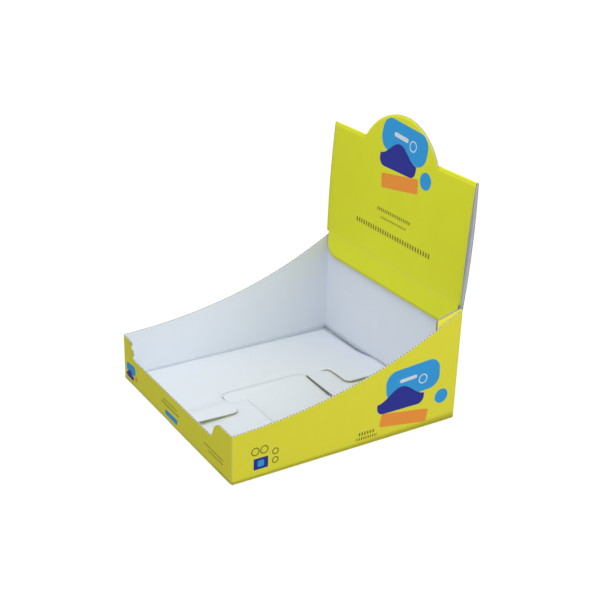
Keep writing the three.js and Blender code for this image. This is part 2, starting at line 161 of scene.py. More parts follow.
class BaseSizes(bpy.types.PropertyGroup):
    """Flaps of the snap-lock base."""

    clearance: length("Clearance", 0.0005, "Air between a flap's end and the wall beside it")
    gap: length("Ply gap", 0.0003, "Air between two layers that lie on each other")
    bend: length("Bend", 0.0016, "Outside radius of the bend from a wall to its flap")
    notched: length("Notched flap", 0.157, "Length of the flap from the left wall, at its ears")
    notch_bottom: length("Notch bottom", 0.112, "Distance of the notch's bottom from the left wall")
    notch_front: length("Notch front", 0.079, "Front side of the notch")
    notch_back: length("Notch back", 0.230, "Back side of the notch")
    notch_radius: length("Notch radius", 0.009, "Radius of the notch's and the ears' corners")
    notched_rise: length("Rise", 0.0014, "Rise of the notched flap up to the notch")
    back_climb: length("Back climb", 0.0058, "Climb of the back ear onto the back side flap")
    back_climb_start: length("Back climb start", 0.075, "Where it starts, from the left wall")
    back_climb_end: length("Back climb end", 0.130, "Where it ends, from the left wall")
    back_climb_run: length("Back climb run", 0.028, "Length over which the flap twists up to the ear")
    front_climb: length("Front climb", 0.0055, "Climb of the front ear onto the front side flap")
    front_climb_start: length("Front climb start", 0.110, "Where it starts, from the left wall")
    front_climb_end: length("Front climb end", 0.138, "Where it ends, from the left wall")
    front_climb_run: length("Front climb run", 0.020, "Length over which the flap twists up to the ear")
    front_twist: length("Front twist", 0.0018, "Further lift of the front ear beside the front wall")
    side_flap: length("Side flap", 0.102, "Length of the flaps from the front and back walls")
    side_lift: length("Side lift", 0.0052, "Height of their free edges")
    side_ramp: length("Side ramp", 0.008, "Length over which they rise onto the tongue flap")
    side_inset: length("Side inset", 0.008, "Distance of their right ends from the right wall")
    side_taper: length("Side taper", 0.004, "Taper of each of their ends")
    back_side: length("Back flap end", 0.1125, "Left end of the back side flap")
    front_side: length("Front flap end", 0.132, "Left end of the front side flap")
    tongue_front: length("Tongue front", 0.080, "Front side of the tongue")
    tongue_back: length("Tongue back", 0.197, "Back side of the tongue")
    tongue_tip: length("Tongue tip", 0.102, "Distance of the tongue's tip from the left wall")
    tongue_radius: length("Tongue radius", 0.010, "Radius of the tongue's corners")
    tongue_rise: length("Tongue rise", 0.0033, "Height of the tongue, on the notched flap")
    tongue_start: length("Rise start", 0.190, "Where the tongue starts to rise, from the left wall")
    tongue_level: length("Level tip", 0.002, "Length of the tongue's tip that is level again")
    shoulder_outer: length("Outer shoulder", 0.200, "Where the tongue flap's ends slant in")
    shoulder_inner: length("Inner shoulder", 0.165, "Where the slant meets the tongue")
    shoulder_inset: length("Shoulder inset", 0.009, "Distance of its ends from the front and back walls")


class HeaderSizes(bpy.types.PropertyGroup):
    """Header card: the lid panel standing on the back wall, folded forward and down at its top."""

    fold: length("Fold", 0.002, "Outside radius of the fold at the header's top")
    back_bulge: length("Back bulge", 0.0026, "Outward bow of the panel behind")
    back_join: length("Back join", 0.004, "Height over which it leaves the back wall's plane")
    front_sag: length("Front sag", 0.0016, "Outward bow of the panel in front")
    crease_height: length("Crease height", 0.147, "Height of the tuck flap's crease")
    crease_inset: length("Crease inset", 0.00275, "How far it lies in front of the back wall's middle")
    tuck: length("Tuck flap", 0.032, "Length of the tuck flap")
    tuck_inset: length("Tuck inset", 0.004, "How much narrower the tuck flap is at each side")
    tuck_lean: length("Tuck lean", 0.0015, "How far the tuck flap leans forward")
    tuck_radius: length("Tuck radius", 0.018, "Radius of its lower corners")
    chord: length("Arch chord", 0.145, "Width of the arch at the fold")
    rise: length("Arch rise", 0.042, "Height of the arch over the fold")
    arch_gap: length("Arch gap", 0.0005, "Cut between the arch and its hole")


class Colours(bpy.types.PropertyGroup):
    """Inks, liner and board."""

    yellow: colour("Yellow", (0.930, 0.912, 0.270), "Ink all over the printed face")
    green: colour("Header yellow", (0.905, 0.922, 0.225), "The header's slightly greener ink")
    light_blue: colour("Light blue", (0.24, 0.64, 0.90), "Ink of the large patches and the blue discs")
    navy: colour("Navy", (0.21, 0.23, 0.60), "Ink of the waves and the small square")
    orange: colour("Orange", (0.98, 0.62, 0.27), "Ink of the broad bars and a small disc")
    small_ink: colour("Small ink", (0.52, 0.50, 0.22), "Ink of the small bars and rings")
    liner: colour("Liner", (0.887, 0.910, 0.943), "White inside liner")
    # Between the papers of a cut edge: the board's own olive-brown, darkened as painted shade of the
    # hollows between the flutes
    core: colour("Core", (0.56, 0.54, 0.43), "Fluted middle of the board, seen at cut edges")
    floor: colour("Floor", (0.50, 0.50, 0.50), "Floor, before the white that the camera sees in it")


class Studio(bpy.types.PropertyGroup):
    """Camera and lights. The camera's place counts from the middle of the tray's bottom."""

    azimuth: angle("Azimuth", 57.70, "Camera's turn to the right of the front")
    elevation: angle("Elevation", 24.10, "Camera's tilt down")
    roll: angle("Roll", 1.72, "Camera's turn about its view")
    distance: length("Distance", 1.3977, "From the camera's plane to the tray's middle")
    aside: length("Aside", -0.0188, "How far the tray's middle lies to the right of the view's middle")
    above: length("Above", -0.1192, "How far the tray's middle lies above the view's middle")
    lens: ratio("Lens", 68.48, "Focal length in millimetres, on the sensor's width")
    sensor: ratio("Sensor", 36.0, "Width of the sensor in millimetres")
    key: ratio("Key", 4.2, "Power of the soft light high in front, in watts")
    key_size: length("Key size", 0.7, "Width of that light")
    key_place: point("Key place", (0.15, -0.35, 1.1), "Middle of that light")
    side: ratio("Side", 9.4, "Power of the soft light at the right, in watts")
    side_size: length("Side size", 0.9, "Width of that light")
    side_place: point("Side place", (1.5, 0.6, 0.8), "Middle of that light")
    target: point("Target", (0.0, 0.0, 0.1), "Point that both lights face")
    floor_half: length("Half floor", 6.0, "Half the floor's width")
    floor_drop: length("Floor drop", 0.0002, "Distance of the floor under the box")
    shine: ratio("Floor shine", 0.86, "White that shows in the floor, where it is looked at")
    under: ratio("Shine under the tray", 0.11, "White that shows in the floor under the tray")
    sky: ratio("Sky", 0.66, "Strength of the even white surroundings")


class DisplayBox(bpy.types.PropertyGroup):
    """Everything a user would change."""

    tray: bpy.props.PointerProperty(type=TraySizes, name="Tray", description="Walls of the tray")
    base: bpy.props.PointerProperty(type=BaseSizes, name="Base", description="Flaps of the base")
    header: bpy.props.PointerProperty(type=HeaderSizes, name="Header", description="Header card")
    colours: bpy.props.PointerProperty(type=Colours, name="Colours", description="Inks, liner and board")
    studio: bpy.props.PointerProperty(type=Studio, name="Studio", description="Camera and lights")


def settings():
    """Everything a user would change, as it is set in this scene."""
    return bpy.context.scene.display_box


# Curves and surfaces


def ease(start, end, value):
    """Smooth step from 0 at start to 1 at end: 3 s squared minus 2 s cubed, in either direction."""
    s = np.clip((value - start) / (end - start), 0, 1)
    return s * s * (3 - 2 * s)


def shares(count):
    """Even shares from 0 to 1."""
    return np.linspace(0, 1, count)


def steps(start, end, spacing):
    """Even places from start to end, about spacing apart."""
    return np.linspace(start, end, max(2, int(round(abs(end - start) / spacing)) + 1))


def sorted_places(parts):
    """The places of all the parts, sorted, with each one once."""
    return np.unique(np.round(np.concatenate(parts), DIGITS))


def round_corner(radius):
    """Distances along the first quarter of a circle, closer together where it is steep."""
    return radius * np.sin(np.linspace(0, math.pi / 2, CORNER_COLUMNS))


def rounding(radius, distance):
    """How much a round corner takes off at a distance from its side."""
    return radius - np.sqrt(np.clip(radius**2 - np.clip(radius - distance, 0, None) ** 2, 0, None))


def in_row(x, y, z):
    """Places in the row's frame of points measured from the tray's left front bottom corner."""
    return np.stack(np.broadcast_arrays(x + TRAY_LOW[0], y + TRAY_LOW[1], z), axis=-1)


def sweep_height(y):
    """Height of the torn side edge: a cubic with the given end slopes."""
    tray = settings().tray
    s = np.clip(y / tray.depth, 0, 1)
    low, high = tray.front_height, tray.back_height
    first = low + tray.front_slope * tray.depth / 3
    second = high - tray.back_slope * tray.depth / 3
    return low * (1 - s) ** 3 + 3 * first * s * (1 - s) ** 2 + 3 * second * s**2 * (1 - s) + high * s**3


def from_tie(distance):
    """Number of the tie nearest to a distance along an edge, and how far that is from the tie's middle."""
    tray = settings().tray
    turn = np.floor(distance / tray.pitch)
    return turn, np.abs(distance - (turn + 0.5) * tray.pitch)


def nib_height(distance):
    """Height of the torn nibs at a distance along an edge: a short flat-topped tooth at each tie."""
    tray = settings().tray
    turn, offset = from_tie(distance)
    tooth = np.clip(2 - offset / (tray.tie / 4), 0, 1)
    return tray.nib * (NIB_MIDDLE + NIB_SWING * np.sin(NIB_TURN * turn)) * tooth


def fluff(distance):
    """How far the ink is torn off along an edge: 1 on a tie, and 0 a tie's length from its middle."""
    offset = from_tie(distance)[1]
    return np.clip(2 - offset / (settings().tray.tie / 2), 0, 1)


def nib_places(start, end):
    """Places between start and end where the outline of the nibs bends or their torn ink ends."""
    tray = settings().tray
    first, last = math.ceil(start / tray.pitch), math.floor(end / tray.pitch)
    middles = (np.arange(first, last) + 0.5) * tray.pitch
    return np.add.outer(middles, np.array(TIE_OUTLINE) * tray.tie).ravel()


def ruled(u, low, high, rows):
    """A grid whose columns run from low to high, at the given shares of that length."""
    return np.repeat(u[:, None], len(rows), axis=1), low[:, None] + (high - low)[:, None] * rows


def cell_corners(number):
    """The four corners of each cell of a grid of numbered points, in turn round the cell."""
    return number[:-1, :-1], number[1:, :-1], number[1:, 1:], number[:-1, 1:]


def open_sides(number, keep):
    """Starts and ends of the sides of kept cells that have no kept cell beyond them."""
    a, b, c, d = cell_corners(number)
    beyond = np.pad(keep, 1)
    sides = (
        (a, b, beyond[1:-1, :-2]),
        (b, c, beyond[2:, 1:-1]),
        (c, d, beyond[1:-1, 2:]),
        (d, a, beyond[:-2, 1:-1]),
    )
    starts = np.concatenate([start[keep & ~cell] for start, end, cell in sides])
    ends = np.concatenate([end[keep & ~cell] for start, end, cell in sides])
    return starts, ends


def sheet_map(uu, ww, cells, starts, ends):
    """Flat places of the corners of all faces: those of the print, of the liner and of the cut edge.

    On print and liner they are the flat sheet in metres. On a cut edge they are a distance along the edge
    and the share of the depth.
    """
    flat = np.stack([uu.ravel(), ww.ravel()], axis=-1)
    along = flat.sum(axis=1)
    rim = np.stack([along[ends], along[starts], along[starts], along[ends]], axis=-1)
    rim = np.stack([rim, np.broadcast_to([0.0, 0.0, 1.0, 1.0], rim.shape)], axis=-1)
    return np.concatenate([flat[cells], flat[cells[:, ::-1]], rim])


def faces_inwards(points, cells, under):
    """Whether the normals of the printed cells, added up, point towards the liner."""
    corner = points[cells[:, :3]]
    normals = np.cross(corner[:, 1] - corner[:, 0], corner[:, 2] - corner[:, 0])
    outwards = points[cells[:, 0]] - points[cells[:, 0] + under]
    return (normals * outwards).sum() < 0


def board_sheet(name, uu, ww, place, keep=None, torn=None):
    """A sheet of board as one closed mesh over the grid uu, ww.

    place(u, w, d) gives the points at depth d under the printed face, and the liner is at the depth of
    the board. Cells where keep is false are cut out, and a strip of cut edge joins the two faces wherever
    a cell has no neighbour. torn is how far the ink is torn off at each point, from 0 to 1.
    """
    depths = (0.0, settings().tray.board)
    points = np.concatenate([place(uu, ww, depth).reshape(-1, 3) for depth in depths])
    under = uu.size
    number = np.arange(under).reshape(uu.shape)
    keep = np.ones(number[1:, 1:].shape, bool) if keep is None else keep
    cells = np.stack(cell_corners(number), axis=-1)[keep]
    starts, ends = open_sides(number, keep)
    rim = np.stack([ends, starts, starts + under, ends + under], axis=-1)
    faces = np.concatenate([cells, cells[:, ::-1] + under, rim])
    uv = sheet_map(uu, ww, cells, starts, ends)
    if faces_inwards(points, cells, under):
        faces, uv = faces[:, ::-1], uv[:, ::-1]

    used, faces = np.unique(faces, return_inverse=True)
    points, faces = points[used], faces.reshape(-1, 4)
    mesh = bpy.data.meshes.new(name)
    mesh.from_pydata(points.tolist(), [], faces.tolist())
    mesh.uv_layers.new(name="Flat").data.foreach_set("uv", uv.ravel().astype(np.float32))
    kinds = np.full(len(faces), EDGE, np.int32)
    kinds[: len(cells)] = PRINT
    kinds[len(cells) : 2 * len(cells)] = LINER
    mesh.polygons.foreach_set("material_index", kinds)
    mesh.polygons.foreach_set("use_smooth", kinds != EDGE)
    torn = np.zeros(uu.shape) if torn is None else torn
    torn = np.concatenate([torn.ravel(), torn.ravel()])[used].astype(np.float32)
    mesh.attributes.new("torn", "FLOAT", "POINT").data.foreach_set("value", torn)
    mesh.update()
    piece = bpy.data.objects.new(name, mesh)
    bpy.context.collection.objects.link(piece)
    return piece


def finish_piece(piece, print_material, cad_node, body=None):
    """Gives a sheet its three materials, and fixes it to a body when one is given."""
    for material in (print_material, liner_material(), edge_material()):
        piece.data.materials.append(material)
    if body:
        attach(piece, body)
    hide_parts(cad_node)
    return piece


# Walls


def wall_path():
    """The tray's outer face in plan, from the back right corner forward and round to the glue flap.

    Each stretch is its length, its start, its heading and its radius, which is 0 on a straight one. All
    bends turn to the right, towards the inside.
    """
    tray = settings().tray
    w, d, r = tray.width, tray.depth, tray.corner
    quarter = r * math.pi / 2
    return (
        (d - r, (w, d), -90, 0),
        (quarter, (w, r), -90, r),
        (w - 2 * r, (w - r, 0), -180, 0),
        (quarter, (r, 0), -180, r),
        (d - 2 * r, (0, r), -270, 0),
        (quarter, (0, d - r), -270, r),
        (w - tray.board - 2 * r, (r, d), -360, 0),
        (quarter, (w - tray.board - r, d), -360, r),
        (tray.glue_flap - r + tray.board, (w - tray.board, d - r), -450, 0),
    )


def wall_starts():
    """Distance round the walls at which each stretch of wall_path starts, and at last the whole length."""
    return np.concatenate([[0], np.cumsum([stretch[0] for stretch in wall_path()])])


def wall_plan(u, depth):
    """Plan of the walls at a distance u round them and a depth under the printed face."""
    x, y = np.zeros_like(u), np.zeros_like(u)
    starts = wall_starts()
    for (span, (x0, y0), degrees, radius), start in zip(wall_path(), starts):
        here = (u >= start - TOUCH) & (u <= start + span + TOUCH)
        s = u - start
        heading = math.radians(degrees) - (s / radius if radius else 0 * s)
        inward_x, inward_y = np.sin(heading), -np.cos(heading)
        if radius:
            first = math.radians(degrees)
            px = x0 + radius * math.sin(first) - (radius - depth) * inward_x
            py = y0 - radius * math.cos(first) - (radius - depth) * inward_y
        else:
            px = x0 + s * np.cos(heading) + depth * inward_x
            py = y0 + s * np.sin(heading) + depth * inward_y
        x, y = np.where(here, px, x), np.where(here, py, y)
    return x, y


def front_height(x):
    """Height of the torn front wall: an ear, an S down to the sill, and a climb to the other ear."""
    tray = settings().tray
    top, sill = tray.front_height, tray.sill
    foot = tray.width - tray.right_ear - tray.right_run
    bend = foot + tray.right_shoulder
    shoulder = sill + tray.right_shoulder_share * (top - sill)
    left = sill + (top - sill) * ease(tray.left_ear + tray.left_run, tray.left_ear, x)
    steep = np.interp(x, [foot, bend], [sill, shoulder])
    climb = np.sin(math.pi / 2 * np.clip((x - bend) / tray.right_run, 0, 1))
    right = np.where(x < bend, steep, shoulder + (top - shoulder) * climb)
    return np.where(x < tray.width / 2, left, right)


def glue_front():
    """Distance of the glue flap's front end from the tray's front."""
    tray = settings().tray
    return tray.depth - tray.board - tray.glue_flap


def remnant_height(y):
    """Top of the glue flap and of the piece of torn strip glued to it: a straight line up to the corner."""
    tray = settings().tray
    low = sweep_height(np.array(glue_front())) + tray.remnant_front
    return np.interp(y, [glue_front(), tray.depth], [low, tray.back_height + tray.remnant_back])


def wall_tops(u):
    """Heights round the walls: of the perforated line, of the top edge, and of that edge with its nibs."""
    tray = settings().tray
    starts = wall_starts()
    x, y = wall_plan(u, 0.0)
    torn = sweep_height(y)
    torn = np.where((u > starts[1]) & (u < starts[4]), front_height(x), torn)
    torn = np.where(u >= starts[6], tray.back_height, torn)
    whole = np.where((u <= starts[1]) & (y > glue_front()), remnant_height(y), torn)
    whole = np.where(u > starts[7], tray.back_height, whole)
    whole = np.where(u > starts[8], remnant_height(y), whole)
    torn = np.where(u > starts[7], whole, torn)
    on_sill = (u > starts[2] + tray.right_ear) & (u < starts[3] - tray.left_ear)
    on_side = (whole == torn) & (u < starts[5]) & ((u < starts[1]) | (u > starts[4]))
    nibbed = whole + np.where(on_sill | on_side, nib_height(u), 0)
    return torn, whole, nibbed


def slit_places():
    """Starts and ends of the perforation's slits under the remnant, from the back corner."""
    tray = settings().tray
    cut = tray.depth - glue_front()
    starts = cut - tray.pitch * np.arange(int(tray.glue_flap / tray.pitch), 0, -1) + tray.tie / 2
    return starts, starts + tray.pitch - tray.tie


def wall_columns():
    """Places of the columns round the walls: close together in the bends, at the nibs and at the slits."""
    tray = settings().tray
    starts = wall_starts()
    cut = tray.depth - glue_front()
    slit_starts, slit_ends = slit_places()
    right_ear, left_ear = starts[2] + tray.right_ear, starts[3] - tray.left_ear
    return sorted_places(
        [
            *(steps(start, end, WALL_CELL) for start, end in zip(starts[:-1:2], starts[1::2])),
            *(steps(start, end, BEND_CELL) for start, end in zip(starts[1:-1:2], starts[2::2])),
            [cut - HAIR, cut + HAIR],
            slit_starts,
            slit_ends,
            slit_starts - tray.tie / 2,
            nib_places(cut, starts[5]),
            steps(left_ear - tray.left_run, left_ear + tray.corner, BEND_CELL),
            steps(right_ear - tray.right_run, right_ear + tray.right_run, SHOULDER_CELL),
        ]
    )


def build_walls():
    """All four walls and the glue flap, as one strip bent round the tray.

    Rows run up from the base crease. The upper four hold the perforation's slits or the torn edge's nibs.
    """
    tray, base = settings().tray, settings().base
    starts = wall_starts()
    cut = tray.depth - glue_front()
    u = wall_columns()
    torn, whole, nibbed = wall_tops(u)
    has_strip = whole > torn + HAIR
    glue_low = base.bend + tray.glue_inset + tray.glue_taper * (u - starts[8]) / (starts[9] - starts[8])
    low = np.where(u > starts[8], glue_low, base.bend)
    edge_low = torn - np.where(has_strip, tray.slit / 2, tray.nib)
    edge_high = np.where(has_strip, torn + tray.slit / 2, torn - tray.nib / 2)
    edge_over = np.where(has_strip, edge_high + tray.nib, (edge_high + nibbed) / 2)
    uu, ww = ruled(u, low, edge_low - tray.nib, shares(WALL_ROWS))
    uu = np.column_stack([uu, u, u, u, u])
    ww = np.column_stack([ww, edge_low, edge_high, edge_over, nibbed])

    strip_off = np.outer(has_strip * fluff(cut - u + tray.pitch / 2), STRIP_ROWS_OFF)
    between = INK_OFF_BETWEEN + (1 - INK_OFF_BETWEEN) * fluff(u)
    edge_off = np.outer(between * (u < starts[5]), EDGE_ROWS_OFF)
    ink_off = np.zeros(uu.shape)
    ink_off[:, -4:] = np.where(has_strip[:, None], strip_off, edge_off)

    middle = (u[:-1] + u[1:]) / 2
    slit_starts, slit_ends = slit_places()
    in_slit = ((middle[:, None] > slit_starts) & (middle[:, None] < slit_ends)).any(axis=1)
    keep = np.ones((len(u) - 1, ww.shape[1] - 1), bool)
    keep[in_slit & (middle < cut), -3] = False

    def place(u, w, d):
        x, y = wall_plan(u, d)
        return in_row(x, y, w)

    return board_sheet("walls", uu, ww, place, keep, ink_off)


# Base


def fold_in(reach, depth, height):
    """Distance in from a wall's face and height of a flap: a quarter bend, then the flap's own height."""
    bend = settings().base.bend
    turn = np.clip(reach / bend, 0, 1) * math.pi / 2
    inward = np.where(reach < bend, bend - (bend - depth) * np.cos(turn), reach)
    up = np.where(reach < bend, bend - (bend - depth) * np.sin(turn), depth + height)
    return inward, up


def flap_rows(reach):
    """Shares of a flap's reach for its rows: close together in the bend, then even."""
    bend = settings().base.bend / reach
    in_bend, over_flap = np.linspace(0, bend, FLAP_BEND_ROWS), np.linspace(bend, 1, FLAP_ROWS)
    return np.unique(np.concatenate([in_bend, over_flap]))


def notched_height(x, y):
    """Height of the notched flap: a slow rise, and a climb of each ear onto the side flap under it."""
    base = settings().base
    back_side = ease(base.notch_back - base.back_climb_run, base.notch_back, y)
    front_side = ease(base.notch_front + base.front_climb_run, base.notch_front, y)
    back = base.back_climb * ease(base.back_climb_start, base.back_climb_end, x) * back_side
    front_lift = base.front_climb + base.front_twist * ease(base.notch_front, 0, y)
    front = front_lift * ease(base.front_climb_start, base.front_climb_end, x) * front_side
    return base.notched_rise * np.minimum(x / base.notch_bottom, 1) + back + front


def build_notched_flap():
    """The flap from the left wall: over y, its length is that of the ears, of the notch or of a corner."""
    tray, base = settings().tray, settings().base
    front = tray.board + base.clearance
    low, high, r = base.notch_front, base.notch_back, base.notch_radius
    corner = round_corner(r)
    y = sorted_places(
        [
            steps(front, low - r, WALL_CELL),
            low - r + corner,
            low + HAIR + r - corner[::-1],
            steps(low + r, high - r, WALL_CELL),
            high - HAIR - r + corner,
            high + r - corner[::-1],
            steps(high + r, tray.depth - front, WALL_CELL),
        ]
    )
    shortening = rounding(r, np.minimum(np.abs(y - low), np.abs(y - high)))
    in_notch = (y > low) & (y < high)
    reach = np.where(in_notch, base.notch_bottom + shortening, base.notched - shortening)
    uu, ww = ruled(y, 0 * y, reach, flap_rows(base.notched))

    def place(y, w, d):
        inward, up = fold_in(w, d, notched_height(w, y))
        return in_row(inward, y, up)

    return board_sheet("notched_flap", uu, ww, place)


def build_side_flap(name, end, at_back):
    """A flap from the front or back wall: up over the tongue flap, then straight to its free edge."""
    tray, base = settings().tray, settings().base
    far = tray.width - base.side_inset
    over = tray.board + base.gap
    rise = (base.side_lift - over) / (base.side_flap - base.side_ramp)
    x = np.concatenate([[end - base.side_taper], steps(end, far - base.side_taper, FLAP_CELL), [far]])
    reach = np.full_like(x, base.side_flap)
    reach[[0, -1]] = base.bend
    uu, ww = ruled(x, 0 * x, reach, flap_rows(base.side_flap))

    def place(x, w, d):
        height = over * ease(0, base.side_ramp, w) + rise * np.maximum(w - base.side_ramp, 0)
        inward, up = fold_in(w, d, height)
        return in_row(x, tray.depth - inward if at_back else inward, up)

    return board_sheet(name, uu, ww, place)


def build_tongue_flap():
    """The flap from the right wall, whose tongue rises through the notch and lies on the notched flap."""
    tray, base = settings().tray, settings().base
    front = tray.board + base.clearance
    back = tray.depth - front
    low, high = base.shoulder_inset, tray.depth - base.shoulder_inset
    tongue_low, tongue_high, r = base.tongue_front, base.tongue_back, base.tongue_radius
    corner = round_corner(r)
    y = sorted_places(
        [
            [front, low, low + HAIR, tongue_low - HAIR, tongue_high + HAIR, high - HAIR, high, back],
            tongue_low + r - corner,
            tongue_high - r + corner,
            steps(low + HAIR, tongue_low - HAIR, FLAP_CELL),
            steps(tongue_low + r, tongue_high - r, FLAP_CELL),
            steps(tongue_high + HAIR, high - HAIR, FLAP_CELL),
        ]
    )
    outer, inner = tray.width - base.shoulder_outer, tray.width - base.shoulder_inner
    tip = tray.width - base.tongue_tip
    slant = np.interp(y, [low, tongue_low, tongue_high, high], [outer, inner, inner, outer])
    inset = base.shoulder_inset
    ends = np.interp(y, [front, low, high, back], [base.bend, inset, inset, base.bend])
    into = np.minimum(y - tongue_low, tongue_high - y)
    reach = np.where(into >= 0, tip - rounding(r, into), slant)
    reach = np.where((y <= low) | (y >= high), ends, reach)
    uu, ww = ruled(y, 0 * y, reach, flap_rows(tip))

    def place(y, w, d):
        height = base.tongue_rise * ease(tray.width - base.tongue_start, tip - base.tongue_level, w)
        inward, up = fold_in(w, d, height)
        return in_row(tray.width - inward, y, up)

    return board_sheet("tongue_flap", uu, ww, place)


# Header


def arch_radius():
    """Radius of the circle through the arch's ends and its top."""
    header = settings().header
    return (header.rise**2 + (header.chord / 2) ** 2) / (2 * header.rise)


def hole_half():
    """Half the width of the arch's hole at the fold."""
    header = settings().header
    radius = arch_radius()
    return math.sqrt((radius + header.arch_gap) ** 2 - (radius - header.rise) ** 2)


def header_columns(half):
    """Places across the header: even ones outside the arch and even angles over it."""
    width, radius = settings().tray.width, arch_radius() + settings().header.arch_gap
    turn = math.asin(half / radius)
    over = np.clip(radius * np.sin(np.linspace(-turn, turn, ARCH_COLUMNS)), -half, half)
    left, right = width / 2 - half, width / 2 + half
    return sorted_places([steps(0, left, WALL_CELL), width / 2 + over, steps(right, width, WALL_CELL)])


def bowed(z, foot, head, bow):
    """Middle line of a bowed panel: y of the parabola from foot to head, and its slope in z."""
    (y0, z0), (y1, z1) = foot, head
    s = (z - z0) / (z1 - z0)
    y = y0 + (y1 - y0) * s + 4 * bow * s * (1 - s)
    slope = ((y1 - y0) + 4 * bow * (1 - 2 * s)) / (z1 - z0)
    return y, slope


def stand(x, z, y, slope, offset):
    """Points of the row's frame at an offset behind a panel's middle line, square to it."""
    offset = offset / np.sqrt(1 + slope**2)
    return np.stack(np.broadcast_arrays(x + TRAY_LOW[0], y + offset, z - offset * slope), axis=-1)


def wall_middle():
    """Place of the back wall's middle, from front to back."""
    tray = settings().tray
    return TRAY_LOW[1] + tray.depth - tray.board / 2


def fold_offset():
    """From the hinge line to the middle of the panel on either side of it."""
    return settings().header.fold - settings().tray.board / 2


def build_header_back():
    """The lid panel standing on the back wall, with the arch's hole open at its top."""
    tray, header = settings().tray, settings().header
    middle = wall_middle()
    foot, head = (middle, tray.back_height - tray.board), (HINGE_Y + fold_offset(), HINGE_Z)
    half, radius = hole_half(), arch_radius()
    x = header_columns(half)
    across = np.abs(x - tray.width / 2)
    drop = np.sqrt(np.clip((radius + header.arch_gap) ** 2 - across**2, 0, None))
    hole = HINGE_Z - header.rise + radius - drop
    top = np.where(across < half, np.minimum(hole, HINGE_Z), HINGE_Z)
    uu, ww = ruled(x, 0 * x + tray.back_height, top, shares(BACK_PANEL_ROWS))

    def place(x, z, d):
        y, slope = bowed(z, foot, head, header.back_bulge)
        join = ease(tray.back_height, tray.back_height + header.back_join, z)
        y = middle + (y - middle) * join
        return stand(x, z, y, slope * join, tray.board / 2 - d)

    return board_sheet("header_back", uu, ww, place)


def header_front_line(z):
    """Middle line of the front panel: straight in the arch and the tuck flap, and bowed between them."""
    header = settings().header
    crease = (wall_middle() - header.crease_inset, header.crease_height)
    fold = (HINGE_Y - fold_offset(), HINGE_Z)
    y, slope = bowed(z, crease, fold, -header.front_sag)
    y_fold, slope_fold = bowed(np.array(HINGE_Z), crease, fold, -header.front_sag)
    tuck_slope = header.tuck_lean / header.tuck
    y = np.where(z > HINGE_Z, y_fold + (z - HINGE_Z) * slope_fold, y)
    slope = np.where(z > HINGE_Z, slope_fold, slope)
    y = np.where(z < header.crease_height, crease[0] + (z - header.crease_height) * tuck_slope, y)
    return y, np.where(z < header.crease_height, tuck_slope, slope)


def build_header_flap():
    """The header's front panel with its arch above and its round-cornered tuck flap below."""
    tray, header = settings().tray, settings().header
    radius, half = arch_radius(), header.chord / 2
    inset, r = header.tuck_inset, header.tuck_radius
    tuck_end = np.concatenate([[inset - HAIR], inset + r - round_corner(r)])
    x = sorted_places([header_columns(half), tuck_end, tray.width - tuck_end])
    across = np.abs(x - tray.width / 2)
    arch = HINGE_Z + header.rise - radius + np.sqrt(np.clip(radius**2 - across**2, 0, None))
    top = np.where(across < half, np.maximum(arch, HINGE_Z), HINGE_Z)
    from_end = np.minimum(x, tray.width - x) - inset
    beside = from_end < -HAIR / 2
    low = header.crease_height - header.tuck + np.where(beside, 0, rounding(r, from_end))
    crease = np.full_like(x, header.crease_height)
    tuck_u, tuck_w = ruled(x, low, crease, shares(TUCK_ROWS))
    panel_u, panel_w = ruled(x, crease, top, shares(FRONT_PANEL_ROWS))
    uu, ww = np.hstack([tuck_u, panel_u[:, 1:]]), np.hstack([tuck_w, panel_w[:, 1:]])
    keep = np.ones((len(x) - 1, ww.shape[1] - 1), bool)
    keep[beside[:-1] | beside[1:], : TUCK_ROWS - 1] = False

    def place(x, z, d):
        y, slope = header_front_line(z)
        points = stand(x, z, y, slope, d - tray.board / 2)
        points[..., 2] = np.minimum(points[..., 2], HINGE_Z + header.rise)
        return points

    return board_sheet("header_front", uu, ww, place, keep)


def build_header_fold(name, start, end):
    """The fold at the header's top beside the arch: half a turn about the hinge line."""
    header = settings().header
    x = steps(start, end, WALL_CELL)
    uu, ww = ruled(x, 0 * x, 0 * x + math.pi * header.fold, shares(FOLD_ROWS))

    def place(x, w, d):
        radius, turn = header.fold - d, w / header.fold
        y, z = HINGE_Y + radius * np.cos(turn), HINGE_Z + radius * np.sin(turn)
        return np.stack(np.broadcast_arrays(x + TRAY_LOW[0], y, z), axis=-1)

    return board_sheet(name, uu, ww, place)


# Materials

FLUTE_PITCH = 0.0032  # from one flute of the board to the next, in metres
INK_BLUR = 0.0001  # half the width of the step at a motif's outline
RING_LINE = 0.0007  # half the width of a printed ring's line
DASH_PITCH = 1.7  # from bar to bar of a broken line, in half heights of the line
DASH_STEP = (-0.15, 0.05)  # of the sine along a broken line: bare under the first, ink over the second
WAVE_LEVEL, WAVE_SWING = 0.35, 0.5  # of a wave over its motif's centre, in half heights of the motif
TORN_STEP = (0.25, 0.75)  # how far the ink is torn off where paper starts to show, and where it is bare
BROAD_NOISE = {"Scale": 28.0, "Detail": 2.0}
FINE_NOISE = {"Scale": 1800.0, "Detail": 3.0}
CREASE_NOISE = {"Scale": 420.0, "Detail": 3.0}
BUMP_DEPTH = 0.001
SPECULAR = 0.04

# Roughness, strength of the bump, and relief of each surface
PRINT_FINISH = (0.5, 0.5, {"Flutes": 0.012, "Waviness": 0.10, "Grain": 0.004, "Mottle": 0.05})
LINER_FINISH = (0.72, 0.45, {"Flutes": 0.010, "Waviness": 0.08, "Grain": 0.008, "Mottle": 0.035})
EDGE_FINISH = (0.85, 0.6, {"Flutes": 0.0, "Waviness": 0.02, "Grain": 0.03, "Mottle": 0.10})
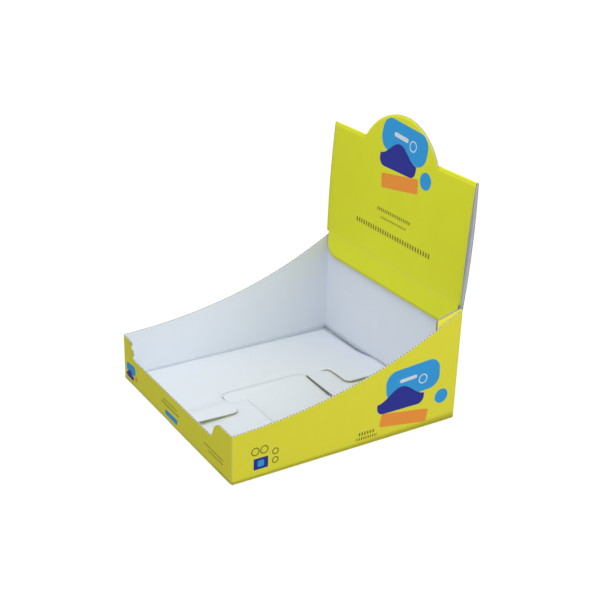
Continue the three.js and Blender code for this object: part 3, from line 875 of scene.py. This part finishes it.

# Pale lines along creases: painted highlights where the rounded corners and the tuck flap's crease catch
# the light, and a pale line along the base crease. Half width of the line, and how much paper shows in it
CORNER_HIGHLIGHT = (0.0020, 0.16)
BASE_CREASE_LINE = (0.0010, 0.12)
TUCK_CREASE_HIGHLIGHT = (0.0012, 0.12)
BASE_CREASE_LINE_HEIGHT = 0.0018
CREASE_FADE = (1.0, 0.2)  # from no pale line to a full one, in half widths of the crease
CREASE_BREAKS = (0.35, 0.62)  # of the noise in a crease, from no pale line to a full one

# Cut edges, in shares of the board's thickness
FLUTE_SWING = 0.34
FLUTE_FADE = (0.16, 0.08)  # away from the fluted paper, from hollow to paper
RIM_FADE = (0.30, 0.38)  # away from the board's middle, from hollow to the outer papers
EDGE_PAPER = 0.45  # how white the papers show, held low: partly the papers' own tone, partly painted shade on the cut edge
TIE_GAP_SHADE = 0.75  # how much of that is lost between the ties of a torn edge: painted shade of the shadowed flutes there
TIE_GAP_SHADE_STEP = (0.15, 0.3)  # how far the ink is torn off, from a clean cut to full painted shade between ties
TIE_STEP = (0.5, 0.8)  # how far it is torn off, from the painted shade between ties to the white of a tie


def linear(seen):
    """A colour as it is meant to be seen, turned into Blender's linear values."""
    values = np.array(seen[:])
    return (*np.where(values <= 0.04045, values / 12.92, ((values + 0.055) / 1.055) ** 2.4), 1.0)


def node(tree, kind, inputs, **properties):
    """Adds a node. inputs maps a socket's name or number to a value or to the socket that feeds it."""
    made = tree.nodes.new(kind)
    for name, value in properties.items():
        setattr(made, name, value)
    for name, value in inputs.items():
        if isinstance(value, bpy.types.NodeSocket):
            tree.links.new(value, made.inputs[name])
        else:
            made.inputs[name].default_value = value
    return made


def calculate(tree, operation, *values):
    """The result of a sum on numbers or sockets."""
    return node(tree, "ShaderNodeMath", dict(enumerate(values)), operation=operation).outputs[0]


def vector(tree, operation, *values):
    """The result of a sum on vectors."""
    made = node(tree, "ShaderNodeVectorMath", dict(enumerate(values)), operation=operation)
    return made.outputs["Value" if operation == "LENGTH" else "Vector"]


def span(tree, value, start, end):
    """0 at start to 1 at end and beyond, in a straight line."""
    inputs = {0: value, 1: start, 2: end}
    return node(tree, "ShaderNodeMapRange", inputs, clamp=True).outputs[0]


def mix(tree, share, first, second):
    """The first colour at a share of 0, and the second at 1."""
    return node(tree, "ShaderNodeMix", {0: share, 6: first, 7: second}, data_type="RGBA").outputs[2]


def node_group(name, inputs, outputs, fill):
    """A shader node group, built once. inputs and outputs map names to socket types."""
    if name not in bpy.data.node_groups:
        tree = bpy.data.node_groups.new(name, "ShaderNodeTree")
        for way, sockets in (("INPUT", inputs), ("OUTPUT", outputs)):
            for socket, kind in sockets.items():
                tree.interface.new_socket(socket, in_out=way, socket_type="NodeSocket" + kind)
        made = fill(tree, tree.nodes.new("NodeGroupInput").outputs)
        target = tree.nodes.new("NodeGroupOutput").inputs
        for socket, source in made.items():
            tree.links.new(source, target[socket])
    return bpy.data.node_groups[name]


def place_group(tree, group, inputs):
    """Puts a node group into a material, with its own values."""
    return node(tree, "ShaderNodeGroup", inputs, node_tree=group).outputs


def fill_patch(tree, source):
    """A rounded rectangle: the distance from the rectangle shrunk by the rounding, less the rounding."""
    away = {"Vector": vector(tree, "SUBTRACT", source["Flat"], source["Centre"]), "Angle": source["Turn"]}
    turned = node(tree, "ShaderNodeVectorRotate", away, rotation_type="Z_AXIS").outputs[0]
    inner = vector(tree, "SUBTRACT", vector(tree, "ABSOLUTE", turned), source["Half"])
    outside = vector(tree, "MULTIPLY", vector(tree, "MAXIMUM", inner, (0, 0, 0)), (1, 1, 0))
    gap = calculate(tree, "SUBTRACT", vector(tree, "LENGTH", outside), source["Rounding"])
    ring = calculate(tree, "SUBTRACT", calculate(tree, "ABSOLUTE", gap), source["Line"])
    hollow = calculate(tree, "GREATER_THAN", source["Line"], 0.0)
    distance = node(tree, "ShaderNodeMix", {0: hollow, 2: gap, 3: ring}).outputs[0]
    return {"Mask": span(tree, distance, INK_BLUR, -INK_BLUR)}


def fill_wave(tree, source):
    """The area under a sine wave along u."""
    flat = node(tree, "ShaderNodeSeparateXYZ", {0: source["Flat"]}).outputs
    turn = calculate(tree, "MULTIPLY_ADD", flat[0], source["Turns per metre"], source["Shift"])
    swing = calculate(tree, "MULTIPLY", calculate(tree, "SINE", turn), source["Swing"])
    over = calculate(tree, "SUBTRACT", flat[1], calculate(tree, "ADD", swing, source["Height"]))
    return {"Mask": span(tree, over, INK_BLUR, -INK_BLUR)}


def fill_dashes(tree, source):
    """Even short bars along u."""
    flat = node(tree, "ShaderNodeSeparateXYZ", {0: source["Flat"]}).outputs
    turn = calculate(tree, "MULTIPLY", flat[0], source["Turns per metre"])
    return {"Mask": span(tree, calculate(tree, "SINE", turn), *DASH_STEP)}


def fill_board(tree, source):
    """Board relief: faint ridges of the flutes under the paper, broad waviness, and fine paper grain."""
    flat = node(tree, "ShaderNodeSeparateXYZ", {0: source["Flat"]}).outputs
    flutes = calculate(tree, "SINE", calculate(tree, "MULTIPLY", flat[0], math.tau / FLUTE_PITCH))
    broad, fine = (
        node(tree, "ShaderNodeTexNoise", {"Vector": source["Flat"], **noise}).outputs["Fac"]
        for noise in (BROAD_NOISE, FINE_NOISE)
    )
    height = calculate(tree, "MULTIPLY", flutes, source["Flutes"])
    height = calculate(tree, "MULTIPLY_ADD", broad, source["Waviness"], height)
    height = calculate(tree, "MULTIPLY_ADD", fine, source["Grain"], height)
    mottle = calculate(tree, "MULTIPLY_ADD", broad, source["Mottle"], 1.0)
    tone = calculate(tree, "SUBTRACT", mottle, calculate(tree, "MULTIPLY", source["Mottle"], 0.5))
    return {"Height": height, "Tone": tone}


def fill_crease(tree, source):
    """A line along u or w, 1 in its middle, broken up by noise."""
    flat = node(tree, "ShaderNodeSeparateXYZ", {0: source["Flat"]}).outputs
    where = node(tree, "ShaderNodeMix", {0: source["Across"], 2: flat[0], 3: flat[1]}).outputs[0]
    away = calculate(tree, "ABSOLUTE", calculate(tree, "SUBTRACT", where, source["Place"]))
    line = span(tree, calculate(tree, "DIVIDE", away, source["Width"]), *CREASE_FADE)
    noise = node(tree, "ShaderNodeTexNoise", {"Vector": source["Flat"], **CREASE_NOISE}).outputs["Fac"]
    return {"Mask": calculate(tree, "MULTIPLY", line, span(tree, noise, *CREASE_BREAKS))}


def patch_group():
    """Rounded rectangles and rings of print."""
    inputs = dict.fromkeys(("Flat", "Centre", "Half"), "Vector")
    inputs |= dict.fromkeys(("Turn", "Rounding", "Line"), "Float")
    return node_group("Printed Patch", inputs, {"Mask": "Float"}, fill_patch)


def wave_group():
    """The wavy top of a motif."""
    inputs = {"Flat": "Vector"} | dict.fromkeys(("Height", "Swing", "Turns per metre", "Shift"), "Float")
    return node_group("Printed Wave", inputs, {"Mask": "Float"}, fill_wave)


def dashes_group():
    """Broken lines."""
    inputs = {"Flat": "Vector", "Turns per metre": "Float"}
    return node_group("Printed Dashes", inputs, {"Mask": "Float"}, fill_dashes)


def board_group():
    """The board's relief and mottle."""
    inputs = {"Flat": "Vector"} | dict.fromkeys(("Flutes", "Waviness", "Grain", "Mottle"), "Float")
    return node_group("Board Relief", inputs, {"Height": "Float", "Tone": "Float"}, fill_board)


def crease_group():
    """Pale lines along creases: painted highlights on rounded folds, and a pale line at the base crease."""
    inputs = {"Flat": "Vector"} | dict.fromkeys(("Across", "Place", "Width"), "Float")
    return node_group("Crease Line", inputs, {"Mask": "Float"}, fill_crease)


def board_material(name, paint, finish):
    """A board surface: paint(tree, flat) gives its colour, and the finish its gloss, bump and mottle."""
    if name in bpy.data.materials:
        return bpy.data.materials[name]
    roughness, bump, relief = finish
    material = bpy.data.materials.new(name)
    material.use_nodes = True
    tree = material.node_tree
    shader = next(part for part in tree.nodes if part.type == "BSDF_PRINCIPLED")
    shader.inputs["Roughness"].default_value = roughness
    shader.inputs["Specular IOR Level"].default_value = SPECULAR
    flat = node(tree, "ShaderNodeUVMap", {}, uv_map="Flat").outputs[0]
    board = place_group(tree, board_group(), {"Flat": flat, **relief})
    inputs = {0: 1.0, 6: paint(tree, flat), 7: board["Tone"]}
    toned = node(tree, "ShaderNodeMix", inputs, data_type="RGBA", blend_type="MULTIPLY")
    tree.links.new(toned.outputs[2], shader.inputs["Base Color"])
    raised = node(
        tree, "ShaderNodeBump", {"Height": board["Height"], "Distance": BUMP_DEPTH, "Strength": bump}
    )
    tree.links.new(raised.outputs[0], shader.inputs["Normal"])
    return material


def motif_mask(tree, flat, centre, half, turn, corner, style):
    """Where a motif is printed: a rounded rectangle, then what its style leaves of it.

    The style "wave" cuts its top to a wave, "ring" leaves only its outline, and "dashes" leaves bars.
    """
    patch = {
        "Flat": flat,
        "Centre": (*centre, 0),
        "Half": (half[0] - corner, half[1] - corner, 0),
        "Turn": math.radians(turn),
        "Rounding": corner,
        "Line": RING_LINE if style == "ring" else 0.0,
    }
    mask = place_group(tree, patch_group(), patch)["Mask"]
    if style == "wave":
        wave = {
            "Flat": flat,
            "Height": centre[1] + WAVE_LEVEL * half[1],
            "Swing": WAVE_SWING * half[1],
            "Turns per metre": math.pi / half[0],
            "Shift": math.pi * (0.5 - centre[0] / half[0]),
        }
        mask = calculate(tree, "MULTIPLY", mask, place_group(tree, wave_group(), wave)["Mask"])
    if style == "dashes":
        dashes = {"Flat": flat, "Turns per metre": math.tau / (DASH_PITCH * half[1])}
        mask = calculate(tree, "MULTIPLY", mask, place_group(tree, dashes_group(), dashes)["Mask"])
    return mask


def printed_material(name, ground, patches, creases):
    """Printed face: a ground ink, then each patch over it, then the paper that shows where the ink is torn
    off, then pale lines along the creases, which on the rounded corners and the tuck flap's crease are
    painted highlights.

    A patch is its ink, centre, half size, turn in degrees, corner radius and style. A crease is 1.0 where
    it runs level or 0.0 where it runs up, its place, and its half width and share of paper.
    """

    def paint(tree, flat):
        ink = linear(ground)
        for seen, centre, half, turn, corner, *style in patches:
            mask = motif_mask(tree, flat, centre, half, turn, corner, style[0] if style else "")
            ink = mix(tree, mask, ink, linear(seen))
        paper = linear(settings().colours.liner)
        torn = node(tree, "ShaderNodeAttribute", {}, attribute_name="torn").outputs["Fac"]
        ink = mix(tree, span(tree, torn, *TORN_STEP), ink, paper)
        # Pale lines along the creases, mixed towards the paper: painted highlights on the rounded corners
        # and the tuck flap's crease, and a pale line along the base crease
        for across, where, (width, share) in creases:
            crease = {"Flat": flat, "Across": across, "Place": where, "Width": width}
            mask = place_group(tree, crease_group(), crease)["Mask"]
            ink = mix(tree, calculate(tree, "MULTIPLY", mask, share), ink, paper)
        return ink

    return board_material(name, paint, PRINT_FINISH)


def side_patches():
    """Motifs of the right, front and left wall, in the walls' own distance round the tray and height."""
    tray, inks = settings().tray, settings().colours
    starts = wall_starts()

    def right(y, z):
        return tray.depth - y, z

    def front(x, z):
        return starts[2] + tray.width - tray.corner - x, z

    def left(y, z):
        return starts[4] + y - tray.corner, z

    blue, navy, orange, small = inks.light_blue, inks.navy, inks.orange, inks.small_ink
    return (
        (blue, right(0.236, 0.068), (0.038, 0.019), 4, 0.015),
        (navy, right(0.220, 0.050), (0.033, 0.016), 0, 0.009, "wave"),
        (orange, right(0.226, 0.021), (0.034, 0.0085), -9, 0.003),
        (blue, right(0.279, 0.036), (0.0095, 0.0095), 0, 0.0095),
        (inks.liner, right(0.250, 0.066), (0.0055, 0.0055), 0, 0.0055, "ring"),
        (inks.liner, right(0.229, 0.071), (0.012, 0.0022), 4, 0.002),
        (small, right(0.174, 0.016), (0.011, 0.0022), 0, 0.0003, "dashes"),
        (small, right(0.174, 0.010), (0.015, 0.0018), 0, 0.0003, "dashes"),
        (navy, right(0.036, 0.018), (0.009, 0.007), 0, 0.001),
        (blue, right(0.036, 0.018), (0.004, 0.004), 0, 0.002),
        (small, right(0.029, 0.034), (0.0045, 0.0045), 0, 0.0045, "ring"),
        (small, right(0.040, 0.034), (0.0045, 0.0045), 0, 0.0045, "ring"),
        (small, right(0.054, 0.017), (0.0035, 0.0035), 0, 0.0035, "ring"),
        (small, right(0.054, 0.028), (0.0035, 0.0035), 0, 0.0035, "ring"),
        (blue, front(0.021, 0.022), (0.013, 0.0065), 4, 0.005),
        (navy, front(0.018, 0.014), (0.011, 0.006), 0, 0.004, "wave"),
        (orange, front(0.036, 0.014), (0.0035, 0.0035), 0, 0.0035),
        (blue, front(0.134, 0.011), (0.016, 0.0035), 0, 0.001),
        (small, front(0.131, 0.021), (0.024, 0.0015), 0, 0.0003, "dashes"),
        (small, front(0.131, 0.026), (0.018, 0.0012), 0, 0.0003, "dashes"),
        (small, front(0.239, 0.021), (0.022, 0.0013), 0, 0.0003, "dashes"),
        (small, front(0.244, 0.016), (0.017, 0.0013), 0, 0.0003, "dashes"),
        (blue, left(0.236, 0.068), (0.038, 0.019), -4, 0.015),
        (navy, left(0.220, 0.050), (0.033, 0.016), 0, 0.009, "wave"),
        (orange, left(0.226, 0.021), (0.034, 0.0085), 9, 0.003),
    )


def header_patches():
    """Motifs of the header's front, in x and height."""
    inks = settings().colours
    blue, navy, orange, small = inks.light_blue, inks.navy, inks.orange, inks.small_ink
    return (
        (blue, (0.146, 0.304), (0.045, 0.020), 5, 0.017),
        (navy, (0.138, 0.284), (0.036, 0.018), 0, 0.010, "wave"),
        (orange, (0.146, 0.254), (0.036, 0.009), -9, 0.003),
        (blue, (0.194, 0.270), (0.0105, 0.0105), 0, 0.0105),
        (inks.liner, (0.163, 0.303), (0.006, 0.006), 0, 0.006, "ring"),
        (inks.liner, (0.139, 0.308), (0.014, 0.0026), 5, 0.0024),
        (small, (0.142, 0.2120), (0.034, 0.0022), 0, 0.0004, "dashes"),
        (small, (0.142, 0.2025), (0.026, 0.0014), 0, 0.0003, "dashes"),
        (small, (0.142, 0.1850), (0.076, 0.0030), 0, 0.0006, "dashes"),
    )


def walls_material():
    """Print of the walls, with painted highlights along the four rounded corners and a pale line along the
    base crease.
    """
    starts = wall_starts()
    # Painted highlights along the four rounded corners, and a pale line along the base crease
    corners = [(0.0, (starts[turn] + starts[turn + 1]) / 2, CORNER_HIGHLIGHT) for turn in (1, 3, 5, 7)]
    creases = (*corners, (1.0, BASE_CREASE_LINE_HEIGHT, BASE_CREASE_LINE))
    return printed_material("printed_walls", settings().colours.yellow, side_patches(), creases)


def header_material():
    """Print of the header's front, with a painted highlight along the tuck flap's crease."""
    creases = ((1.0, settings().header.crease_height, TUCK_CREASE_HIGHLIGHT),)
    return printed_material("printed_header", settings().colours.green, header_patches(), creases)


def plain_print_material():
    """Print without motifs, on the base and the header's back."""
    return printed_material("printed_plain", settings().colours.yellow, (), ())


def liner_material():
    """White inside paper: matt, with a faint mottle and the flutes just showing."""
    return board_material("white_liner", lambda tree, flat: linear(settings().colours.liner), LINER_FINISH)


def edge_material():
    """Cut edge: two papers and the fluted one between them, over hollows in painted shade, with painted
    shade between the ties of a torn edge, and white torn ties.
    """

    def paint(tree, flat):
        def off_line(value, line):
            return calculate(tree, "ABSOLUTE", calculate(tree, "SUBTRACT", value, line))

        along, depth = node(tree, "ShaderNodeSeparateXYZ", {0: flat}).outputs[:2]
        wave = calculate(tree, "SINE", calculate(tree, "MULTIPLY", along, math.tau / FLUTE_PITCH))
        middle = calculate(tree, "MULTIPLY_ADD", wave, FLUTE_SWING, 0.5)
        flute = span(tree, off_line(depth, middle), *FLUTE_FADE)
        rim = span(tree, off_line(depth, 0.5), *RIM_FADE)
        paper = calculate(tree, "MULTIPLY", calculate(tree, "MAXIMUM", flute, rim), EDGE_PAPER)
        torn = node(tree, "ShaderNodeAttribute", {}, attribute_name="torn").outputs["Fac"]
        # Between the ties of a torn edge the papers dim: painted shade of the shadowed flutes
        tie_gap_shade = calculate(tree, "MULTIPLY", span(tree, torn, *TIE_GAP_SHADE_STEP), TIE_GAP_SHADE)
        paper = calculate(tree, "MULTIPLY", paper, calculate(tree, "SUBTRACT", 1.0, tie_gap_shade))
        paper = calculate(tree, "MAXIMUM", paper, span(tree, torn, *TIE_STEP))
        # Away from the papers the edge takes the core colour: painted shade of the hollows over the board's
        # olive-brown
        return mix(tree, paper, linear(settings().colours.core), linear(settings().colours.liner))

    return board_material("cut_edge", paint, EDGE_FINISH)


# Operators


class DISPLAY_BOX_OT_walls(bpy.types.Operator):
    """Bends the walls and the glue flap"""

    bl_idname = "display_box.walls"
    bl_label = "Walls"

    def execute(self, context):
        finish_piece(build_walls(), walls_material(), "tray_blank", "tray")
        return {"FINISHED"}


class DISPLAY_BOX_OT_base(bpy.types.Operator):
    """Interlocks the four flaps of the snap-lock base"""

    bl_idname = "display_box.base"
    bl_label = "Base flaps"

    def execute(self, context):
        base = settings().base
        flaps = (
            build_notched_flap(),
            build_side_flap("back_side_flap", base.back_side, True),
            build_side_flap("front_side_flap", base.front_side, False),
            build_tongue_flap(),
        )
        for flap in flaps:
            finish_piece(flap, plain_print_material(), "tray_blank", "tray")
        return {"FINISHED"}


class DISPLAY_BOX_OT_header_back(bpy.types.Operator):
    """Stands the panel behind the header on the back wall"""

    bl_idname = "display_box.header_back"
    bl_label = "Header back"

    def execute(self, context):
        finish_piece(build_header_back(), plain_print_material(), "tray_blank", "tray")
        return {"FINISHED"}


class DISPLAY_BOX_OT_header_flap(bpy.types.Operator):
    """Folds the header's front panel down, with its arch and its tuck flap"""

    bl_idname = "display_box.header_flap"
    bl_label = "Header flap"

    def execute(self, context):
        finish_piece(build_header_flap(), header_material(), "header_flap", "header")
        width, reach = settings().tray.width, settings().header.fold
        beside = width / 2 - hole_half()
        folds = (("header_fold_left", 0, beside), ("header_fold_right", width - beside, width))
        for name, start, end in folds:
            fold = finish_piece(build_header_fold(name, start, end), header_material(), "header_flap")
            behind, before = (0, HINGE_Y + reach, HINGE_Z), (0, HINGE_Y - reach, HINGE_Z)
            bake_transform(fold)
            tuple(behind)
            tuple(before)
        return {"FINISHED"}


def soft_light(name, place, size, power):
    """A square area light that faces the target."""
    lamp = bpy.data.lights.new(name, "AREA")
    lamp.energy, lamp.size = power, size
    light = bpy.data.objects.new(name, lamp)
    light.location = place
    towards = Vector(settings().studio.target) - Vector(place)
    light.rotation_euler = towards.to_track_quat("-Z", "Y").to_euler()
    bpy.context.collection.objects.link(light)


def place_camera():
    """Puts the camera where the photograph's view needs it, from its angles and distances."""
    studio = settings().studio
    azimuth, level, down = studio.azimuth, math.cos(studio.elevation), math.sin(studio.elevation)
    forward = Vector((-math.sin(azimuth) * level, math.cos(azimuth) * level, -down))
    right = forward.cross(Vector((0, 0, 1))).normalized()
    up = right.cross(forward)
    right, up = (
        math.cos(studio.roll) * right + math.sin(studio.roll) * up,
        math.cos(studio.roll) * up - math.sin(studio.roll) * right,
    )
    middle = Vector(((TRAY_LOW[0] + TRAY_HIGH[0]) / 2, TRAY_LOW[1] + settings().tray.depth / 2, 0))
    place = middle - studio.aside * right - studio.above * up - studio.distance * forward
    lens = bpy.data.cameras.new("camera")
    lens.lens, lens.sensor_width, lens.sensor_fit = studio.lens, studio.sensor, "HORIZONTAL"
    camera = bpy.data.objects.new("camera", lens)
    camera.matrix_world = Matrix.Translation(place) @ Matrix((right, up, -forward)).transposed().to_4x4()
    bpy.context.collection.objects.link(camera)
    bpy.context.scene.camera = camera


def seen_rays(tree):
    """1 for what the camera sees, also in a gloss or a clear piece, and 0 for light on the object."""
    rays = node(tree, "ShaderNodeLightPath", {}).outputs
    glossy = calculate(tree, "MAXIMUM", rays["Is Camera Ray"], rays["Is Glossy Ray"])
    return calculate(tree, "MAXIMUM", glossy, rays["Is Transmission Ray"])


def floor_material():
    """Grey floor that looks white, and whose shadow stays, because it shines where it is looked at.

    It shines little under the tray, so that the slits of the base show the dim space under it.
    """
    tray, studio = settings().tray, settings().studio
    material = bpy.data.materials.new("floor")
    material.use_nodes = True
    tree = material.node_tree
    shader = next(part for part in tree.nodes if part.type == "BSDF_PRINCIPLED")
    shader.inputs["Base Color"].default_value = linear(settings().colours.floor)
    shader.inputs["Roughness"].default_value = 1.0
    shader.inputs["Emission Color"].default_value = (1, 1, 1, 1)
    place = node(tree, "ShaderNodeTexCoord", {}).outputs["Object"]
    from_middle = vector(tree, "SUBTRACT", place, (0, TRAY_LOW[1] + tray.depth / 2, 0))
    reach = node(tree, "ShaderNodeSeparateXYZ", {0: vector(tree, "ABSOLUTE", from_middle)}).outputs
    beside = calculate(tree, "GREATER_THAN", reach[0], tray.width / 2 - tray.corner)
    before = calculate(tree, "GREATER_THAN", reach[1], tray.depth / 2 - tray.corner)
    outside = calculate(tree, "MAXIMUM", beside, before)
    share = node(tree, "ShaderNodeMix", {0: outside, 2: studio.under, 3: studio.shine}).outputs[0]
    shine = calculate(tree, "MULTIPLY", seen_rays(tree), share)
    tree.links.new(shine, shader.inputs["Emission Strength"])
    return material


class DISPLAY_BOX_OT_stage(bpy.types.Operator):
    """Sets up the floor, the soft lights, the surroundings and the camera"""

    bl_idname = "display_box.stage"
    bl_label = "Stage"

    def execute(self, context):
        studio = settings().studio
        half, low = studio.floor_half, -studio.floor_drop
        corners = [(-half, -half, low), (half, -half, low), (half, half, low), (-half, half, low)]
        mesh = bpy.data.meshes.new("floor")
        mesh.from_pydata(corners, [], [(0, 1, 2, 3)])
        floor = bpy.data.objects.new("floor", mesh)
        floor.data.materials.append(floor_material())
        context.collection.objects.link(floor)
        soft_light("key", studio.key_place, studio.key_size, studio.key)
        soft_light("side", studio.side_place, studio.side_size, studio.side)

        world = bpy.data.worlds.new("surroundings")
        world.use_nodes = True
        tree = world.node_tree
        background = next(part for part in tree.nodes if part.type == "BACKGROUND")
        strength = node(tree, "ShaderNodeMix", {0: seen_rays(tree), 2: studio.sky, 3: 1.0}).outputs[0]
        tree.links.new(strength, background.inputs["Strength"])
        background.inputs["Color"].default_value = (1, 1, 1, 1)
        context.scene.world = world
        context.scene.view_settings.view_transform = "Standard"
        place_camera()
        return {"FINISHED"}


OPERATORS = (
    DISPLAY_BOX_OT_stage,
    DISPLAY_BOX_OT_walls,
    DISPLAY_BOX_OT_base,
    DISPLAY_BOX_OT_header_back,
    DISPLAY_BOX_OT_header_flap,
)


class DISPLAY_BOX_PT_panel(bpy.types.Panel):
    """Sizes, colours and pieces of the box"""

    bl_idname = "DISPLAY_BOX_PT_panel"
    bl_label = "Display Box"
    bl_space_type = "VIEW_3D"
    bl_region_type = "UI"
    bl_category = "Display Box"

    def draw(self, context):
        box = context.scene.display_box
        for group in (box.tray, box.base, box.header, box.colours, box.studio):
            column = self.layout.box().column()
            for name in group.bl_rna.properties.keys():
                if name not in ("rna_type", "name"):
                    column.prop(group, name)
        for operator in OPERATORS:
            self.layout.operator(operator.bl_idname)


CLASSES = (TraySizes, BaseSizes, HeaderSizes, Colours, Studio, DisplayBox, *OPERATORS, DISPLAY_BOX_PT_panel)


def register():
    """Adds the settings, the operators and the panel to Blender."""
    for kind in CLASSES:
        bpy.utils.register_class(kind)
    bpy.types.Scene.display_box = bpy.props.PointerProperty(type=DisplayBox)


def unregister():
    """Takes them out again."""
    del bpy.types.Scene.display_box
    for kind in reversed(CLASSES):
        bpy.utils.unregister_class(kind)


def main():
    """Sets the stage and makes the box."""
    register()
    bpy.ops.display_box.stage()
    bpy.ops.display_box.walls()
    bpy.ops.display_box.base()
    bpy.ops.display_box.header_back()
    bpy.ops.display_box.header_flap()


if __name__ == "__main__":
    main()
